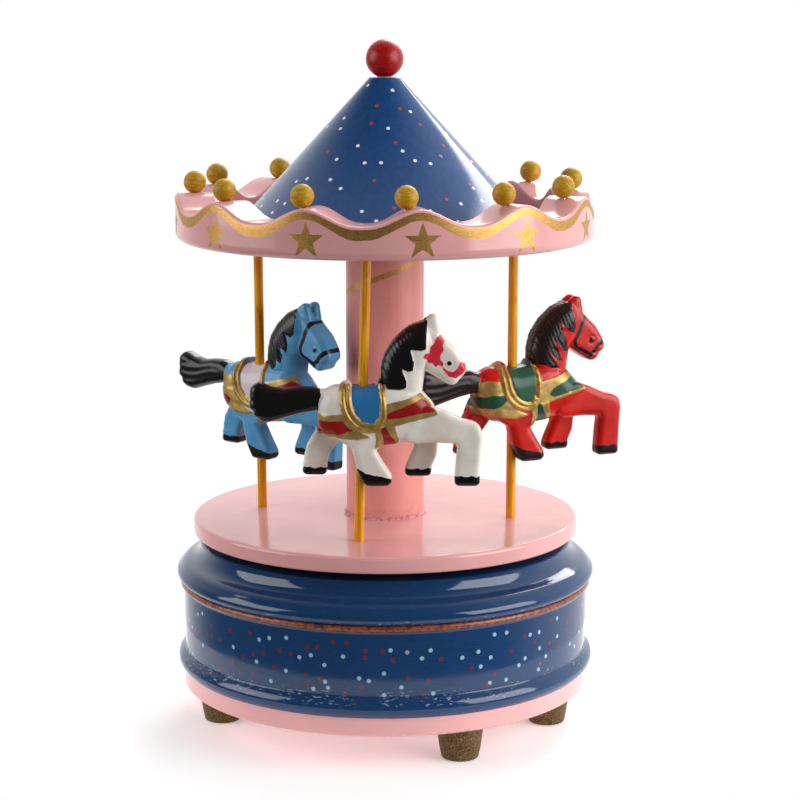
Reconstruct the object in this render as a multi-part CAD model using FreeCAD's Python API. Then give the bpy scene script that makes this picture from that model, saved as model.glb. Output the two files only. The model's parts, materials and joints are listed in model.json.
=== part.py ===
import FreeCAD, Part
import math
import os
from FreeCAD import Vector

# A wind-up carousel music box. Millimetres, +Z up.
# The origin is on the floor, under the feet, on the carousel's spin axis. -Y is the front.

os.makedirs("parts", exist_ok=True)

# ---- driving dimensions: feet, plate and base shell ----
FOOT_H = 9.7
FOOT_R = 5.9
FOOT_TIP_R = 4.9
FOOT_PITCH_R = 44.6
FOOT_ANGLES = {"foot_left": 191.8, "foot_right": -14.1, "foot_front": -64.3, "foot_back": 109.7}
PLATE_R = 54.3
PLATE_T = 5.0
SHELL_H = 33.8
SHELL_R = 53.9
SHELL_BEAD = 1.8
SHELL_WALL = 6.9
SHELL_TOP = 4.2
SHELL_MOUTH_R = 49.5

# ---- driving dimensions: carousel ----
TURNTABLE_GAP = 2.2
TURNTABLE_R = 51.2
TURNTABLE_T = 4.3
COLUMN_R = 10.3
COLUMN_H = 74.0
POLE_R = 1.25
POLE_PITCH_R = 34.0
POLE_SEAT = 3.5
POLE_FIRST = -101.2
CANOPY_LEAD = 4.0
POLES = ("pole_front", "pole_right", "pole_back", "pole_left")
CANOPY_R = 54.8
CANOPY_FLOOR = 6.3
CANOPY_H = 12.5
CANOPY_LIP = 10.3
WAVES = 12
WAVE_DEPTH = 4.1
WAVE_CUTTER_R = 19.0
WAVE_CREST = 9.5
ROOF_R = 36.0
ROOF_TOP_R = 4.0
ROOF_H = 35.5
TOP_BEAD_R = 5.0
TOP_BEAD_SEAT = 0.2
CROWN_BEAD_R = 3.0
CROWN_BEAD_FIRST = 6.5
CROWN_BEAD_IN = 5.2
BEAD_PIN_R = 0.6

# ---- driving dimensions: musical movement ----
BEDPLATE_T = 2.5
BEDPLATE_R = 44.0
SHAFT_R = 2.0
ARBOR_R = 1.5
BUSH_R = 6.0
BARREL_R = 13.0
BARREL_H = 8.0
BARREL_WALL = 1.2
CROWN_TEETH = 36
CROWN_MEAN_R = 11.5
PINION_TEETH = 12
CYLINDER_R = 6.5
CYLINDER_L = 18.0
CYLINDER_START = 15.2
COMB_TEETH = 18
GEAR_MODULE = 0.5
GEAR_TEETH = 36
GOVERNOR_TEETH = 12
WORM_WHEEL_TEETH = 20
WORM_MODULE = 0.4
WORM_R = 1.4
THIN_ARBOR_R = 0.7
GOVERNOR_DROP = 24.0
BRACKET_T = 1.2
BRACKET_FOOT = 5.4
KEY_SPAN = 25.0
KEY_T = 1.8

# ---- driving dimensions: horses, and how each stands on its pole ----
HORSE_SADDLE = 18.0
HORSE_BODY_W = 10.4
HORSE_NECK_W = 8.0
HORSE_HEAD_W = 6.6
HORSE_LEG_W = 4.0
HORSE_TAIL_W = 5.4
HORSES = {
    "horse_white": (0, 0.0, 70.3),
    "horse_red": (1, 23.0, 70.6),
    "horse_yellow": (2, 107.0, 70.0),
    "horse_blue": (3, -38.0, 69.5),
}

# ---- clearances ----
RUN = 0.05      # radial running clearance of a shaft in its bore
FLOAT = 0.1     # end float between faces that turn on each other
LOOSE = 0.3     # clearance of a piece that passes through without touching

# ---- heights worked out from the sizes above ----
plate_z = FOOT_H
shell_z = plate_z + PLATE_T
shell_top = shell_z + SHELL_H
cavity_r = SHELL_R - SHELL_WALL
cavity_top = shell_top - SHELL_TOP
disc_z = shell_top + TURNTABLE_GAP
disc_top = disc_z + TURNTABLE_T
canopy_z = disc_top + COLUMN_H
canopy_floor = canopy_z + CANOPY_FLOOR
crest_z = canopy_z + CANOPY_H
roof_top = canopy_floor + ROOF_H
bed_z = shell_z
bed_top = bed_z + BEDPLATE_T


def disc(radius, low, high, bore=0.0):
    """An upright round piece between two heights, with an optional bore."""
    body = Part.makeCylinder(radius, high - low, Vector(0, 0, low))
    if bore:
        body = body.cut(Part.makeCylinder(bore, high - low, Vector(0, 0, low)))
    return body


def rod(radius, start, end):
    """A round rod between two points."""
    start, end = Vector(*start), Vector(*end)
    return Part.makeCylinder(radius, (end - start).Length, start, end - start)


def moved(shape, x=0.0, y=0.0, z=0.0):
    copy = shape.copy()
    copy.translate(Vector(x, y, z))
    return copy


def turned(shape, angle, axis=(0, 0, 1), centre=(0, 0, 0)):
    copy = shape.copy()
    copy.rotate(Vector(*centre), Vector(*axis), angle)
    return copy


def on_circle(radius, angle):
    """The x and y of a point on a circle about the spin axis."""
    return radius * math.cos(math.radians(angle)), radius * math.sin(math.radians(angle))


def outline(points, place):
    """A closed wire. A point is (a, b); ("arc", middle, end) is an arc from the point before."""
    edges, here = [], points[0]
    for point in points[1:] + points[:1]:
        if point[0] == "arc":
            edges.append(Part.Arc(place(*here), place(*point[1]), place(*point[2])).toShape())
            here = point[2]
        elif point != here:
            edges.append(Part.LineSegment(place(*here), place(*point)).toShape())
            here = point
    return Part.Wire(edges)


def revolved(points):
    """A piece turned on the spin axis from an outline of (radius, height)."""
    wire = outline(points, lambda r, z: Vector(r, 0, z))
    return Part.Face(wire).revolve(Vector(0, 0, 0), Vector(0, 0, 1), 360)


def side_plate(points, low_y, high_y):
    """An outline of (x, z) made into a plate that is as thick as the two y values."""
    wire = outline(points, lambda x, z: Vector(x, low_y, z))
    return Part.Face(wire).extrude(Vector(0, high_y - low_y, 0))


def smooth_plate(points, low_y, high_y, edge_r):
    """As side_plate, with one smooth curve through the points and rounded edges."""
    curve = Part.BSplineCurve()
    curve.interpolate([Vector(x, low_y, z) for x, z in points], PeriodicFlag=True)
    body = Part.Face(Part.Wire(curve.toShape())).extrude(Vector(0, high_y - low_y, 0))
    rims = [edge for edge in body.Edges if edge.isClosed()]
    return body.makeFillet(edge_r, rims)


def box(low, high):
    size = Vector(*high) - Vector(*low)
    return Part.makeBox(size.x, size.y, size.z, Vector(*low))


def fused(first, *others):
    return first.fuse(list(others)).removeSplitter()


def tooth_ring(teeth, root_r, tip_r, thickness, phase):
    """The points of a toothed outline; thickness is a tooth's width halfway up."""
    points, middle = [], (root_r + tip_r) / 2
    half = math.degrees(thickness / middle / 2)
    for number in range(teeth):
        angle = phase + number * 360.0 / teeth
        for radius, offset in ((root_r, -1.35), (tip_r, -0.6), (tip_r, 0.6), (root_r, 1.35)):
            points.append(on_circle(radius, angle + offset * half))
    return points


def spur_gear(teeth, module, start_x, width, y, z, phase):
    """A spur gear on an axis along X. Phase is the angle of one tooth from +Y towards +Z."""
    pitch_r = teeth * module / 2
    points = tooth_ring(teeth, pitch_r - module, pitch_r + 0.8 * module, 1.05 * module, phase)
    corners = [Vector(start_x, y + a, z + b) for a, b in points]
    face = Part.Face(Part.makePolygon(corners + corners[:1]))
    return face.extrude(Vector(width, 0, 0))


# ------------------------------------------------------------------ base

def feet():
    shape = revolved([
        (0, 0), (FOOT_TIP_R - 0.9, 0),
        ("arc", (FOOT_TIP_R - 0.26, 0.26), (FOOT_TIP_R, 0.9)),
        ("arc", (FOOT_R - 0.25, FOOT_H * 0.55), (FOOT_R, FOOT_H * 0.8)),
        (FOOT_R - 0.1, FOOT_H), (0, FOOT_H)])
    return {name: moved(shape, *on_circle(FOOT_PITCH_R, angle))
            for name, angle in FOOT_ANGLES.items()}


PLATE_SCREW_R = SHELL_R - SHELL_WALL / 2
PLATE_SCREWS = [on_circle(PLATE_SCREW_R, angle) for angle in (50, 150, 240)]
MOVEMENT_SCREWS = [on_circle(BARREL_R + 3.2, 140), on_circle(BARREL_R + 3.2, 220), (22.0, -21.0)]
HEAD_R = 2.1
HEAD_H = 1.4
SHANK_R = 1.1


def screw(x, y, low, length):
    """A pan-head screw driven upwards, with a slot in its head."""
    head = moved(disc(HEAD_R, low, low + HEAD_H), x, y)
    slot = box((x - HEAD_R, y - 0.3, low), (x + HEAD_R, y + 0.3, low + 0.5))
    shank = moved(disc(SHANK_R, low + HEAD_H, low + length), x, y)
    return fused(head.cut(slot), shank)


def screws(places, length):
    return Part.makeCompound([screw(x, y, screw_z, length) for x, y in places])


def screw_hole(x, y, low, length):
    """The stepped hole that a screw sits in, open below."""
    head = moved(disc(HEAD_R + RUN, low - 1, low + HEAD_H), x, y)
    return fused(head, moved(disc(SHANK_R + RUN, low + HEAD_H, low + length), x, y))


screw_z = plate_z + 0.2
plate_screw_l = PLATE_T + 9.0
movement_screw_l = PLATE_T + BEDPLATE_T - 0.2


def bottom_plate():
    edge = 0.8
    body = revolved([
        (0, plate_z), (PLATE_R - edge, plate_z),
        ("arc", (PLATE_R - 0.3 * edge, plate_z + 0.3 * edge), (PLATE_R, plate_z + edge)),
        (PLATE_R, shell_z), (0, shell_z)])
    cuts = [disc(ARBOR_R + LOOSE, plate_z, shell_z)]
    cuts += [screw_hole(x, y, screw_z, plate_screw_l) for x, y in PLATE_SCREWS]
    cuts += [screw_hole(x, y, screw_z, movement_screw_l) for x, y in MOVEMENT_SCREWS]
    return body.cut(cuts)


def base_shell():
    r, bead, z = SHELL_R, SHELL_BEAD, shell_z
    body = revolved([
        (cavity_r, z), (r + 0.5, z),
        ("arc", (r + bead, z + 2.0), (r + 0.2, z + 5.0)),
        (r, z + 5.5), (r, z + 21.6),
        ("arc", (r + 0.9, z + 22.5), (r + 0.4, z + 23.8)),
        ("arc", (r + bead, z + 25.2), (r + 0.9, z + 27.4)),
        ("arc", (r - 0.1, z + 28.5), (r - 1.3, z + 29.1)),
        ("arc", (r - 3.6, z + 30.6), (SHELL_MOUTH_R, shell_top - 0.3)),
        (SHELL_MOUTH_R - 0.4, shell_top), (BUSH_R, shell_top),
        (BUSH_R, cavity_top), (cavity_r - 1.5, cavity_top),
        ("arc", (cavity_r - 0.44, cavity_top - 0.44), (cavity_r, cavity_top - 1.5))])
    holes = [moved(disc(SHANK_R + RUN, z, screw_z + plate_screw_l), x, y) for x, y in PLATE_SCREWS]
    return body.cut(holes)


# ------------------------------------------------------------------ movement

barrel_z = bed_top + 1.0
cover_z = barrel_z + BARREL_H
cover_top = cover_z + 1.5
crown_module = 2 * CROWN_MEAN_R / CROWN_TEETH
crown_pitch_z = cover_top + crown_module
pinion_r = crown_module * PINION_TEETH / 2
axis_z = crown_pitch_z + pinion_r
cylinder_end = CYLINDER_START + CYLINDER_L
pin_tip_r = CYLINDER_R + 0.7
gear_x = cylinder_end + 0.6
gear_w = 1.6
bracket_screw = BRACKET_T + 2.4
inner_x = CYLINDER_START - 0.4 - BRACKET_T
outer_x = gear_x + gear_w + 0.5
gear_centres = GEAR_MODULE * (GEAR_TEETH + GOVERNOR_TEETH) / 2
governor_y = gear_centres * math.cos(math.radians(GOVERNOR_DROP))
governor_z = axis_z - gear_centres * math.sin(math.radians(GOVERNOR_DROP))
worm_wheel_r = WORM_MODULE * WORM_WHEEL_TEETH / 2
worm_x = CYLINDER_START + 13.8
worm_y = governor_y + worm_wheel_r + WORM_R
worm_arm_z = governor_z - 6.4
worm_top_z = governor_z + 11.5
frame_y = worm_y + 5.2
frame_x = worm_x - 3.6
comb_y = -pin_tip_r - 0.15
comb_t = 1.0
comb_tooth = CYLINDER_L / COMB_TEETH
riser_y = comb_y - 9.0
comb_back_y = riser_y - 9.0
comb_low = axis_z - comb_t / 2
COMB_SCREWS = [(CYLINDER_START + CYLINDER_L * share, riser_y - 4.5) for share in (0.2, 0.8)]


def bedplate():
    """A cast plate under the movement, with the comb's riser and the arbor's boss."""
    plate = box((-BARREL_R - 6.5, comb_back_y - 1, bed_z), (BEDPLATE_R, frame_y + 3, bed_top))
    plate = plate.common(disc(BEDPLATE_R, bed_z, bed_top))
    riser = box((CYLINDER_START - 1, comb_back_y, bed_top), (cylinder_end + 1, riser_y, comb_low))
    body = fused(plate, riser, disc(4.0, bed_top, barrel_z - FLOAT))
    cuts = [disc(ARBOR_R + RUN, bed_z, barrel_z)]
    cuts += [moved(disc(SHANK_R + RUN, bed_z, bed_top), x, y) for x, y in MOVEMENT_SCREWS]
    cuts += [moved(disc(0.9, comb_low - 4, comb_low), x, y) for x, y in COMB_SCREWS]
    return body.cut(cuts)


def comb():
    """One steel plate with a row of tuned teeth, longer towards the bass end."""
    low_x, high_x = CYLINDER_START, cylinder_end
    body = box((low_x - 0.6, comb_back_y, comb_low), (high_x + 0.6, comb_y, comb_low + comb_t))
    cuts = []
    for number in range(COMB_TEETH + 1):
        x = low_x + number * comb_tooth
        root_y = comb_y - 4.5 - 3.0 * number / COMB_TEETH
        cuts.append(box((x - 0.12, root_y, comb_low), (x + 0.12, comb_y, comb_low + comb_t)))
    cuts.append(box((low_x - 0.6, comb_y - 5, comb_low + 0.6), (high_x + 0.6, comb_y, comb_low + comb_t)))
    cuts += [moved(disc(0.9, comb_low, comb_low + comb_t), x, y) for x, y in COMB_SCREWS]
    return body.cut(cuts)


def comb_screws():
    top = comb_low + comb_t
    pieces = []
    for x, y in COMB_SCREWS:
        head = disc(1.8, top, top + 1.1).cut(box((-1.8, -0.25, top + 0.6), (1.8, 0.25, top + 1.1)))
        pieces.append(moved(fused(head, disc(0.9, comb_low - 4, top)), x, y))
    return Part.makeCompound(pieces)


def arbor_bore(radius, x, length, y, z):
    """A bore along X for one of the thin arbors."""
    return rod(radius, (x, y, z), (x + length, y, z))


def bracket(x, high_y):
    """A bent bearing plate for arbors along X, with its foot screwed to the bedplate."""
    upright = box((x, -4, bed_top), (x + BRACKET_T, high_y, axis_z + 2.2))
    foot = box((x, -4, bed_top), (x + BRACKET_FOOT, 4, bed_top + BRACKET_T))
    hole = moved(disc(0.8, bed_top, bed_top + BRACKET_T), x + bracket_screw, 0)
    return fused(upright, foot).cut([arbor_bore(THIN_ARBOR_R + RUN, x, BRACKET_T, 0, axis_z), hole])


def brackets():
    outer = bracket(outer_x, governor_y + 2.5)
    bore = arbor_bore(THIN_ARBOR_R + RUN, outer_x, BRACKET_T, governor_y, governor_z)
    head = bed_top + BRACKET_T
    one_screw = fused(disc(1.5, head, head + 0.9), disc(0.8, bed_top, head))
    screws = [moved(one_screw, x + bracket_screw) for x in (inner_x, outer_x)]
    return {"inner_bracket": bracket(inner_x, 4), "outer_bracket": outer.cut(bore),
            "bracket_screws": Part.makeCompound(screws)}


def music_cylinder():
    """The pinned brass cylinder. Each comb tooth has pins of its own round the cylinder."""
    body = rod(CYLINDER_R, (CYLINDER_START, 0, axis_z), (cylinder_end, 0, axis_z))
    pins = []
    for number in range(COMB_TEETH):
        x = CYLINDER_START + (number + 0.5) * comb_tooth
        for note in range(3):
            angle = math.radians(15.0 * ((number * 7 + note * 9 + number * note) % 24))
            y, z = math.cos(angle), math.sin(angle)
            pins.append(rod(0.2, (x, (CYLINDER_R - 0.3) * y, axis_z + (CYLINDER_R - 0.3) * z),
                            (x, pin_tip_r * y, axis_z + pin_tip_r * z)))
    return body.fuse(pins).cut(arbor_bore(THIN_ARBOR_R, CYLINDER_START, CYLINDER_L, 0, axis_z))


def cylinder_train():
    arbor = rod(THIN_ARBOR_R, (CROWN_MEAN_R - 1.5, 0, axis_z), (outer_x + BRACKET_T + 0.8, 0, axis_z))
    bore = arbor_bore(THIN_ARBOR_R, 0, BEDPLATE_R, 0, axis_z)
    pinion = spur_gear(PINION_TEETH, crown_module, CROWN_MEAN_R - 0.6, 2.0, 0, axis_z, -90)
    gear = spur_gear(GEAR_TEETH, GEAR_MODULE, gear_x, gear_w, 0, axis_z, -GOVERNOR_DROP)
    return {"cylinder_arbor": arbor, "cylinder_pinion": pinion.cut(bore), "cylinder_gear": gear.cut(bore)}


def governor_train():
    y, z = governor_y, governor_z
    half_tooth = 180.0 / GOVERNOR_TEETH
    bore = arbor_bore(THIN_ARBOR_R, 0, BEDPLATE_R, y, z)
    pinion = spur_gear(GOVERNOR_TEETH, GEAR_MODULE, gear_x, gear_w, y, z, 180 - GOVERNOR_DROP + half_tooth)
    wheel = spur_gear(WORM_WHEEL_TEETH, WORM_MODULE, worm_x - 0.8, 1.6, y, z, 180.0 / WORM_WHEEL_TEETH)
    arbor = rod(THIN_ARBOR_R, (frame_x - 0.4, y, z), (outer_x + BRACKET_T + 0.6, y, z))
    return {"governor_arbor": arbor, "governor_pinion": pinion.cut(bore), "worm_wheel": wheel.cut(bore)}


def governor_frame():
    """A folded frame that carries the worm between two arms and the arbor's inner end."""
    low, high = worm_arm_z, worm_top_z
    back = box((frame_x, frame_y, bed_top), (worm_x + 3.6, frame_y + 1.2, high + 1.2))
    lower = box((worm_x - 1.6, worm_y - 1.6, low), (worm_x + 1.6, frame_y, low + 1.2))
    upper = box((worm_x - 1.6, worm_y - 1.6, high), (worm_x + 1.6, frame_y, high + 1.2))
    cheek = box((frame_x, governor_y - 1.8, bed_top), (frame_x + 1.2, frame_y, governor_z + 2.2))
    bores = [rod(0.5 + RUN, (worm_x, worm_y, z), (worm_x, worm_y, z + 1.2)) for z in (low, high)]
    bores.append(arbor_bore(THIN_ARBOR_R + RUN, frame_x, 1.2, governor_y, governor_z))
    return fused(back, lower, upper, cheek).cut(bores)


def worm_shaft():
    """A slim shaft with a single-start worm at the height of the worm wheel."""
    lead = math.pi * WORM_MODULE
    turns = 5
    root_r = WORM_R - WORM_MODULE
    thread_z = governor_z - turns * lead / 2
    helix = Part.makeHelix(lead, turns * lead, root_r - 0.05)
    half_root, half_tip, rise = 0.24, 0.13, 1.7 * WORM_MODULE
    corners = [Vector(root_r - 0.05, 0, -half_root), Vector(root_r + rise, 0, -half_tip),
               Vector(root_r + rise, 0, half_tip), Vector(root_r - 0.05, 0, half_root)]
    section = Part.makePolygon(corners + corners[:1])
    thread = Part.Wire(helix).makePipeShell([section], True, True)
    thread = turned(thread, -90 - 180 * turns)
    thread = moved(thread, worm_x, worm_y, thread_z)
    core = rod(root_r, (worm_x, worm_y, thread_z - 0.5), (worm_x, worm_y, thread_z + turns * lead + 0.5))
    shaft = rod(0.5, (worm_x, worm_y, worm_arm_z + 0.2), (worm_x, worm_y, worm_top_z + 1.0))
    return core.fuse([thread, shaft])


def air_brake():
    """Two flat wings on a hub: the fan that steadies the speed."""
    low = worm_top_z - 5.5
    hub = disc(1.1, low, low + 4.5)
    wings = box((-3.6, -0.3, low), (3.6, 0.3, low + 4.5))
    return moved(fused(hub, wings).cut(disc(0.5, low, low + 4.5)), worm_x, worm_y)


def barrel_parts():
    hollow = disc(BARREL_R - BARREL_WALL, barrel_z + BARREL_WALL, cover_z)
    bore = disc(ARBOR_R + RUN, barrel_z, barrel_z + BARREL_WALL)
    barrel = disc(BARREL_R, barrel_z, cover_z).cut([hollow, bore])
    crown = disc(BARREL_R, cover_z, cover_top)
    half = crown_module * math.pi / 2
    tooth = [(-0.42 * half, cover_top - 0.1), (-0.16 * half, crown_pitch_z + 0.8 * crown_module),
             (0.16 * half, crown_pitch_z + 0.8 * crown_module), (0.42 * half, cover_top - 0.1)]
    wire = outline(tooth, lambda y, z: Vector(CROWN_MEAN_R - 0.8, y, z))
    ridge = Part.Face(wire).extrude(Vector(BARREL_R - CROWN_MEAN_R + 0.6, 0, 0))
    pitch = 360.0 / CROWN_TEETH
    ridges = [turned(ridge, (number + 0.5) * pitch) for number in range(CROWN_TEETH)]
    crown = crown.fuse(ridges).cut(disc(SHAFT_R, cover_z, cover_top + 3))
    return {"spring_barrel": barrel, "crown_gear": crown}


def mainspring():
    """A flat steel strip wound in a spiral inside the barrel."""
    low, high = barrel_z + BARREL_WALL + 0.3, cover_z - 0.3
    start_r, turns, strip, steps = ARBOR_R + 0.4, 6, 0.45, 16
    end_r = BARREL_R - BARREL_WALL - 0.3 - strip
    pitch = (end_r - start_r) / turns

    def spiral(offset):
        corners = []
        for number in range(turns * steps + 1):
            turned_so_far = number / steps
            radius = start_r + offset + pitch * turned_so_far
            corners.append(Vector(*on_circle(radius, 360.0 * turned_so_far), low))
        curve = Part.BSplineCurve()
        curve.interpolate(corners)
        return curve

    inner, outer = spiral(0.0), spiral(strip)
    first = Part.LineSegment(inner.StartPoint, outer.StartPoint)
    last = Part.LineSegment(inner.EndPoint, outer.EndPoint)
    edges = Part.sortEdges([curve.toShape() for curve in (inner, last, outer, first)])
    wire = Part.Wire(edges[0])
    return Part.Face(wire).extrude(Vector(0, 0, high - low))


def shaft_bush():
    body = fused(disc(BUSH_R, cavity_top, shell_top), disc(BUSH_R + 3, shell_top, shell_top + 1.0))
    return body.cut(disc(SHAFT_R + RUN, cavity_top, shell_top + 1.0))


def winding_key():
    """A butterfly key: a hub on the arbor with two flat rounded wings."""
    mid = plate_z / 2 + 0.3
    wing = Part.makeCylinder(3.5, KEY_T, Vector(KEY_SPAN / 2 - 3.5, KEY_T / 2, mid), Vector(0, -1, 0))
    neck = box((0, -KEY_T / 2, mid - 2.0), (KEY_SPAN / 2 - 3.5, KEY_T / 2, mid + 2.0))
    hub = disc(2.8, mid - 3.3, plate_z - 0.5)
    body = fused(hub, wing, neck, turned(wing, 180), turned(neck, 180))
    return body.cut(disc(ARBOR_R, mid - 1.0, plate_z))


def winding_arbor():
    return disc(ARBOR_R, plate_z / 2 - 0.7, cover_z - 0.3)


# ------------------------------------------------------------------ carousel

shaft_top = disc_top + 20.0
pin_low = canopy_z - 10.0
pin_high = roof_top + TOP_BEAD_R
pole_low = disc_z + TURNTABLE_T - POLE_SEAT
pole_high = canopy_z + POLE_SEAT


def pole(number, radius=POLE_R):
    """A rod between turntable and canopy. The canopy sits a few degrees ahead, so the rods lean."""
    angle = POLE_FIRST + 90 * number
    foot = (*on_circle(POLE_PITCH_R, angle), pole_low)
    head = (*on_circle(POLE_PITCH_R, angle + CANOPY_LEAD), pole_high)
    return rod(radius, foot, head)


def pole_place(number, height):
    """Where a rod's centre is at a height."""
    share = (height - pole_low) / (pole_high - pole_low)
    foot_x, foot_y = on_circle(POLE_PITCH_R, POLE_FIRST + 90 * number)
    head_x, head_y = on_circle(POLE_PITCH_R, POLE_FIRST + 90 * number + CANOPY_LEAD)
    return foot_x + share * (head_x - foot_x), foot_y + share * (head_y - foot_y)


def turntable():
    edge = 0.6
    body = revolved([
        (SHAFT_R, disc_z), (TURNTABLE_R - edge, disc_z),
        ("arc", (TURNTABLE_R - 0.3 * edge, disc_z + 0.3 * edge), (TURNTABLE_R, disc_z + edge)),
        (TURNTABLE_R, disc_top - edge),
        ("arc", (TURNTABLE_R - 0.3 * edge, disc_top - 0.3 * edge), (TURNTABLE_R - edge, disc_top)),
        (SHAFT_R, disc_top)])
    return body.cut([pole(number) for number in range(len(POLES))])


def thrust_washer():
    return disc(BUSH_R + 2, shell_top + 1.0 + FLOAT, disc_z, SHAFT_R)


def column():
    body = disc(COLUMN_R, disc_top, canopy_z)
    return body.cut([disc(SHAFT_R, disc_top, shaft_top), disc(SHAFT_R, pin_low, canopy_z)])


def canopy():
    """A turned tray whose rim has a row of waves along its top."""
    low, rim, floor = canopy_z, CANOPY_R, canopy_floor
    body = revolved([
        (SHAFT_R, low), (rim - 1.8, low), ("arc", (rim - 0.5, low + 0.7), (rim, low + 2.4)),
        (rim, crest_z - 0.8), ("arc", (rim - 0.3, crest_z - 0.3), (rim - 1.0, crest_z)),
        (rim - CANOPY_LIP + 0.4, crest_z), (rim - CANOPY_LIP, crest_z - 0.4),
        (rim - CANOPY_LIP, floor), (SHAFT_R, floor)])
    scoop_z = crest_z - WAVE_DEPTH + WAVE_CUTTER_R
    scoop = rod(WAVE_CUTTER_R, (rim - CANOPY_LIP - 4, 0, scoop_z), (rim + 2, 0, scoop_z))
    pitch = 360.0 / WAVES
    cuts = [turned(scoop, WAVE_CREST + (number + 0.5) * pitch) for number in range(WAVES)]
    cuts += [pole(number) for number in range(len(POLES))]
    cuts += [moved(disc(BEAD_PIN_R, pin_foot, bead_z), x, y) for x, y in BEAD_PLACES]
    return body.cut(cuts)


bead_ring_r = CANOPY_R - CROWN_BEAD_IN
bead_z = crest_z + CROWN_BEAD_R
pin_foot = crest_z - 6.0
BEAD_PLACES = [on_circle(bead_ring_r, CROWN_BEAD_FIRST + 360.0 / WAVES * number) for number in range(WAVES)]


def crown_bead(x, y):
    ball = Part.makeSphere(CROWN_BEAD_R, Vector(x, y, bead_z))
    return ball.cut(moved(disc(BEAD_PIN_R, bead_z - CROWN_BEAD_R, bead_z + 1.5), x, y))


def bead_pins():
    return Part.makeCompound([moved(disc(BEAD_PIN_R, pin_foot, bead_z + 1.5), x, y) for x, y in BEAD_PLACES])


def roof_cone():
    low, high = canopy_floor, roof_top
    body = revolved([
        (SHAFT_R, low), (ROOF_R - 0.3, low), ("arc", (ROOF_R, low + 0.3), (ROOF_R - 0.3, low + 0.8)),
        (ROOF_TOP_R + 0.3, high - 0.4), (ROOF_TOP_R - 0.3, high), (SHAFT_R, high)])
    return body


def top_bead():
    centre = roof_top + TOP_BEAD_R - TOP_BEAD_SEAT
    ball = Part.makeSphere(TOP_BEAD_R, Vector(0, 0, centre))
    ball = ball.cut(disc(TOP_BEAD_R, roof_top - TOP_BEAD_R, roof_top))
    return ball.cut(disc(SHAFT_R, roof_top, pin_high))


# ------------------------------------------------------------------ horses
# A horse's own outline has x forward from its pole and z up from its hooves.

HORSE_TORSO = [
    (-10.4, 18.6), (-9.6, 22.4), (-6.5, 24.2), (0, 23.8), (5.5, 24.6), (11, 25), (15.5, 23),
    (17.6, 18.8), (16.5, 13.5), (12, 10.6), (5, 9.6), (-2, 9.6), (-7, 11), (-9.8, 14.5)]
HORSE_NECK = [
    (5.4, 25.5), (5.6, 30.1), (7.1, 34.2), (9.6, 37.7), (12.8, 40.0), (16.0, 40.6),
    (18.6, 38.0), (17.8, 32.5), (15.6, 28.5), (15.4, 25.4), (14.5, 21), (8, 20.5)]
HORSE_HEAD = [
    (14.2, 40.2), (16.6, 40.6), (19.7, 37.4), (23.2, 33.6), (25.7, 30.2), (25.4, 27.4),
    (22.9, 25.8), (20.0, 27.2), (16.4, 29.2), (13.8, 32.5), (12.8, 36.5)]
HORSE_EAR = [(15.0, 39.5), (15.9, 41.4), (17.8, 42.3), (18.4, 40.2), (17.6, 38.4)]
HORSE_TAIL = [
    (-8.5, 23.6), (-13.3, 23.9), (-19.4, 23.4), (-23.9, 24.8), (-26.4, 25.2), (-28, 22.8),
    (-27.8, 19.0), (-25.6, 16.4), (-22, 15.8), (-18, 16.8), (-14, 18.3), (-8.5, 18.6)]
NEAR_FRONT = [
    (12, 17), (20.7, 18), (25.4, 16.4), (28.5, 15.6), (30, 13.8), (29.8, 7.8), (29.3, 0),
    (23.8, 0), (24.3, 10), (23.5, 10.9), (14, 10.8)]
NEAR_REAR = [
    (-7.5, 14), (4.5, 14), (3.3, 8.7), (4.6, 5.8), (7.1, 2), (7.3, 0.2), (1.8, 0), (-0.4, 3.6),
    (-1.7, 9.7)]
FAR_REAR = [(-3, 14.5), (-6.7, 10), (-9.3, 6.5), (-9.4, 1.7), (-14.8, 1.8), (-13.7, 8.4), (-9.4, 15.5)]
FAR_FRONT = [
    (10, 15), (17, 15), (18.2, 11.5), (16.4, 6.5), (17.3, 1.4), (11.4, 1.4), (12.4, 6.5),
    (13.2, 10.8)]


def horse(number, yaw, hoof_z):
    """One moulded horse that rides on its pole through a bore in the saddle."""
    inside, outside = 0.7, 0.7 + HORSE_LEG_W
    trunk = smooth_plate(HORSE_TORSO, -HORSE_BODY_W / 2, HORSE_BODY_W / 2, 2.4)
    pieces = [
        smooth_plate(HORSE_NECK, -HORSE_NECK_W / 2, HORSE_NECK_W / 2, 1.8),
        side_plate(HORSE_HEAD, -HORSE_HEAD_W / 2, HORSE_HEAD_W / 2),
        side_plate(HORSE_EAR, 0.6, 2.6), side_plate(HORSE_EAR, -2.6, -0.6),
        smooth_plate(HORSE_TAIL, -HORSE_TAIL_W / 2, HORSE_TAIL_W / 2, 1.2),
        side_plate(NEAR_FRONT, -outside, -inside), side_plate(NEAR_REAR, -outside, -inside),
        side_plate(FAR_REAR, inside, outside), side_plate(FAR_FRONT, inside, outside)]
    x, y = pole_place(number, hoof_z + HORSE_SADDLE)
    return moved(turned(trunk.fuse(pieces), yaw), x, y, hoof_z).cut(pole(number, POLE_R + RUN))


# ------------------------------------------------------------------ all the pieces

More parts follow.
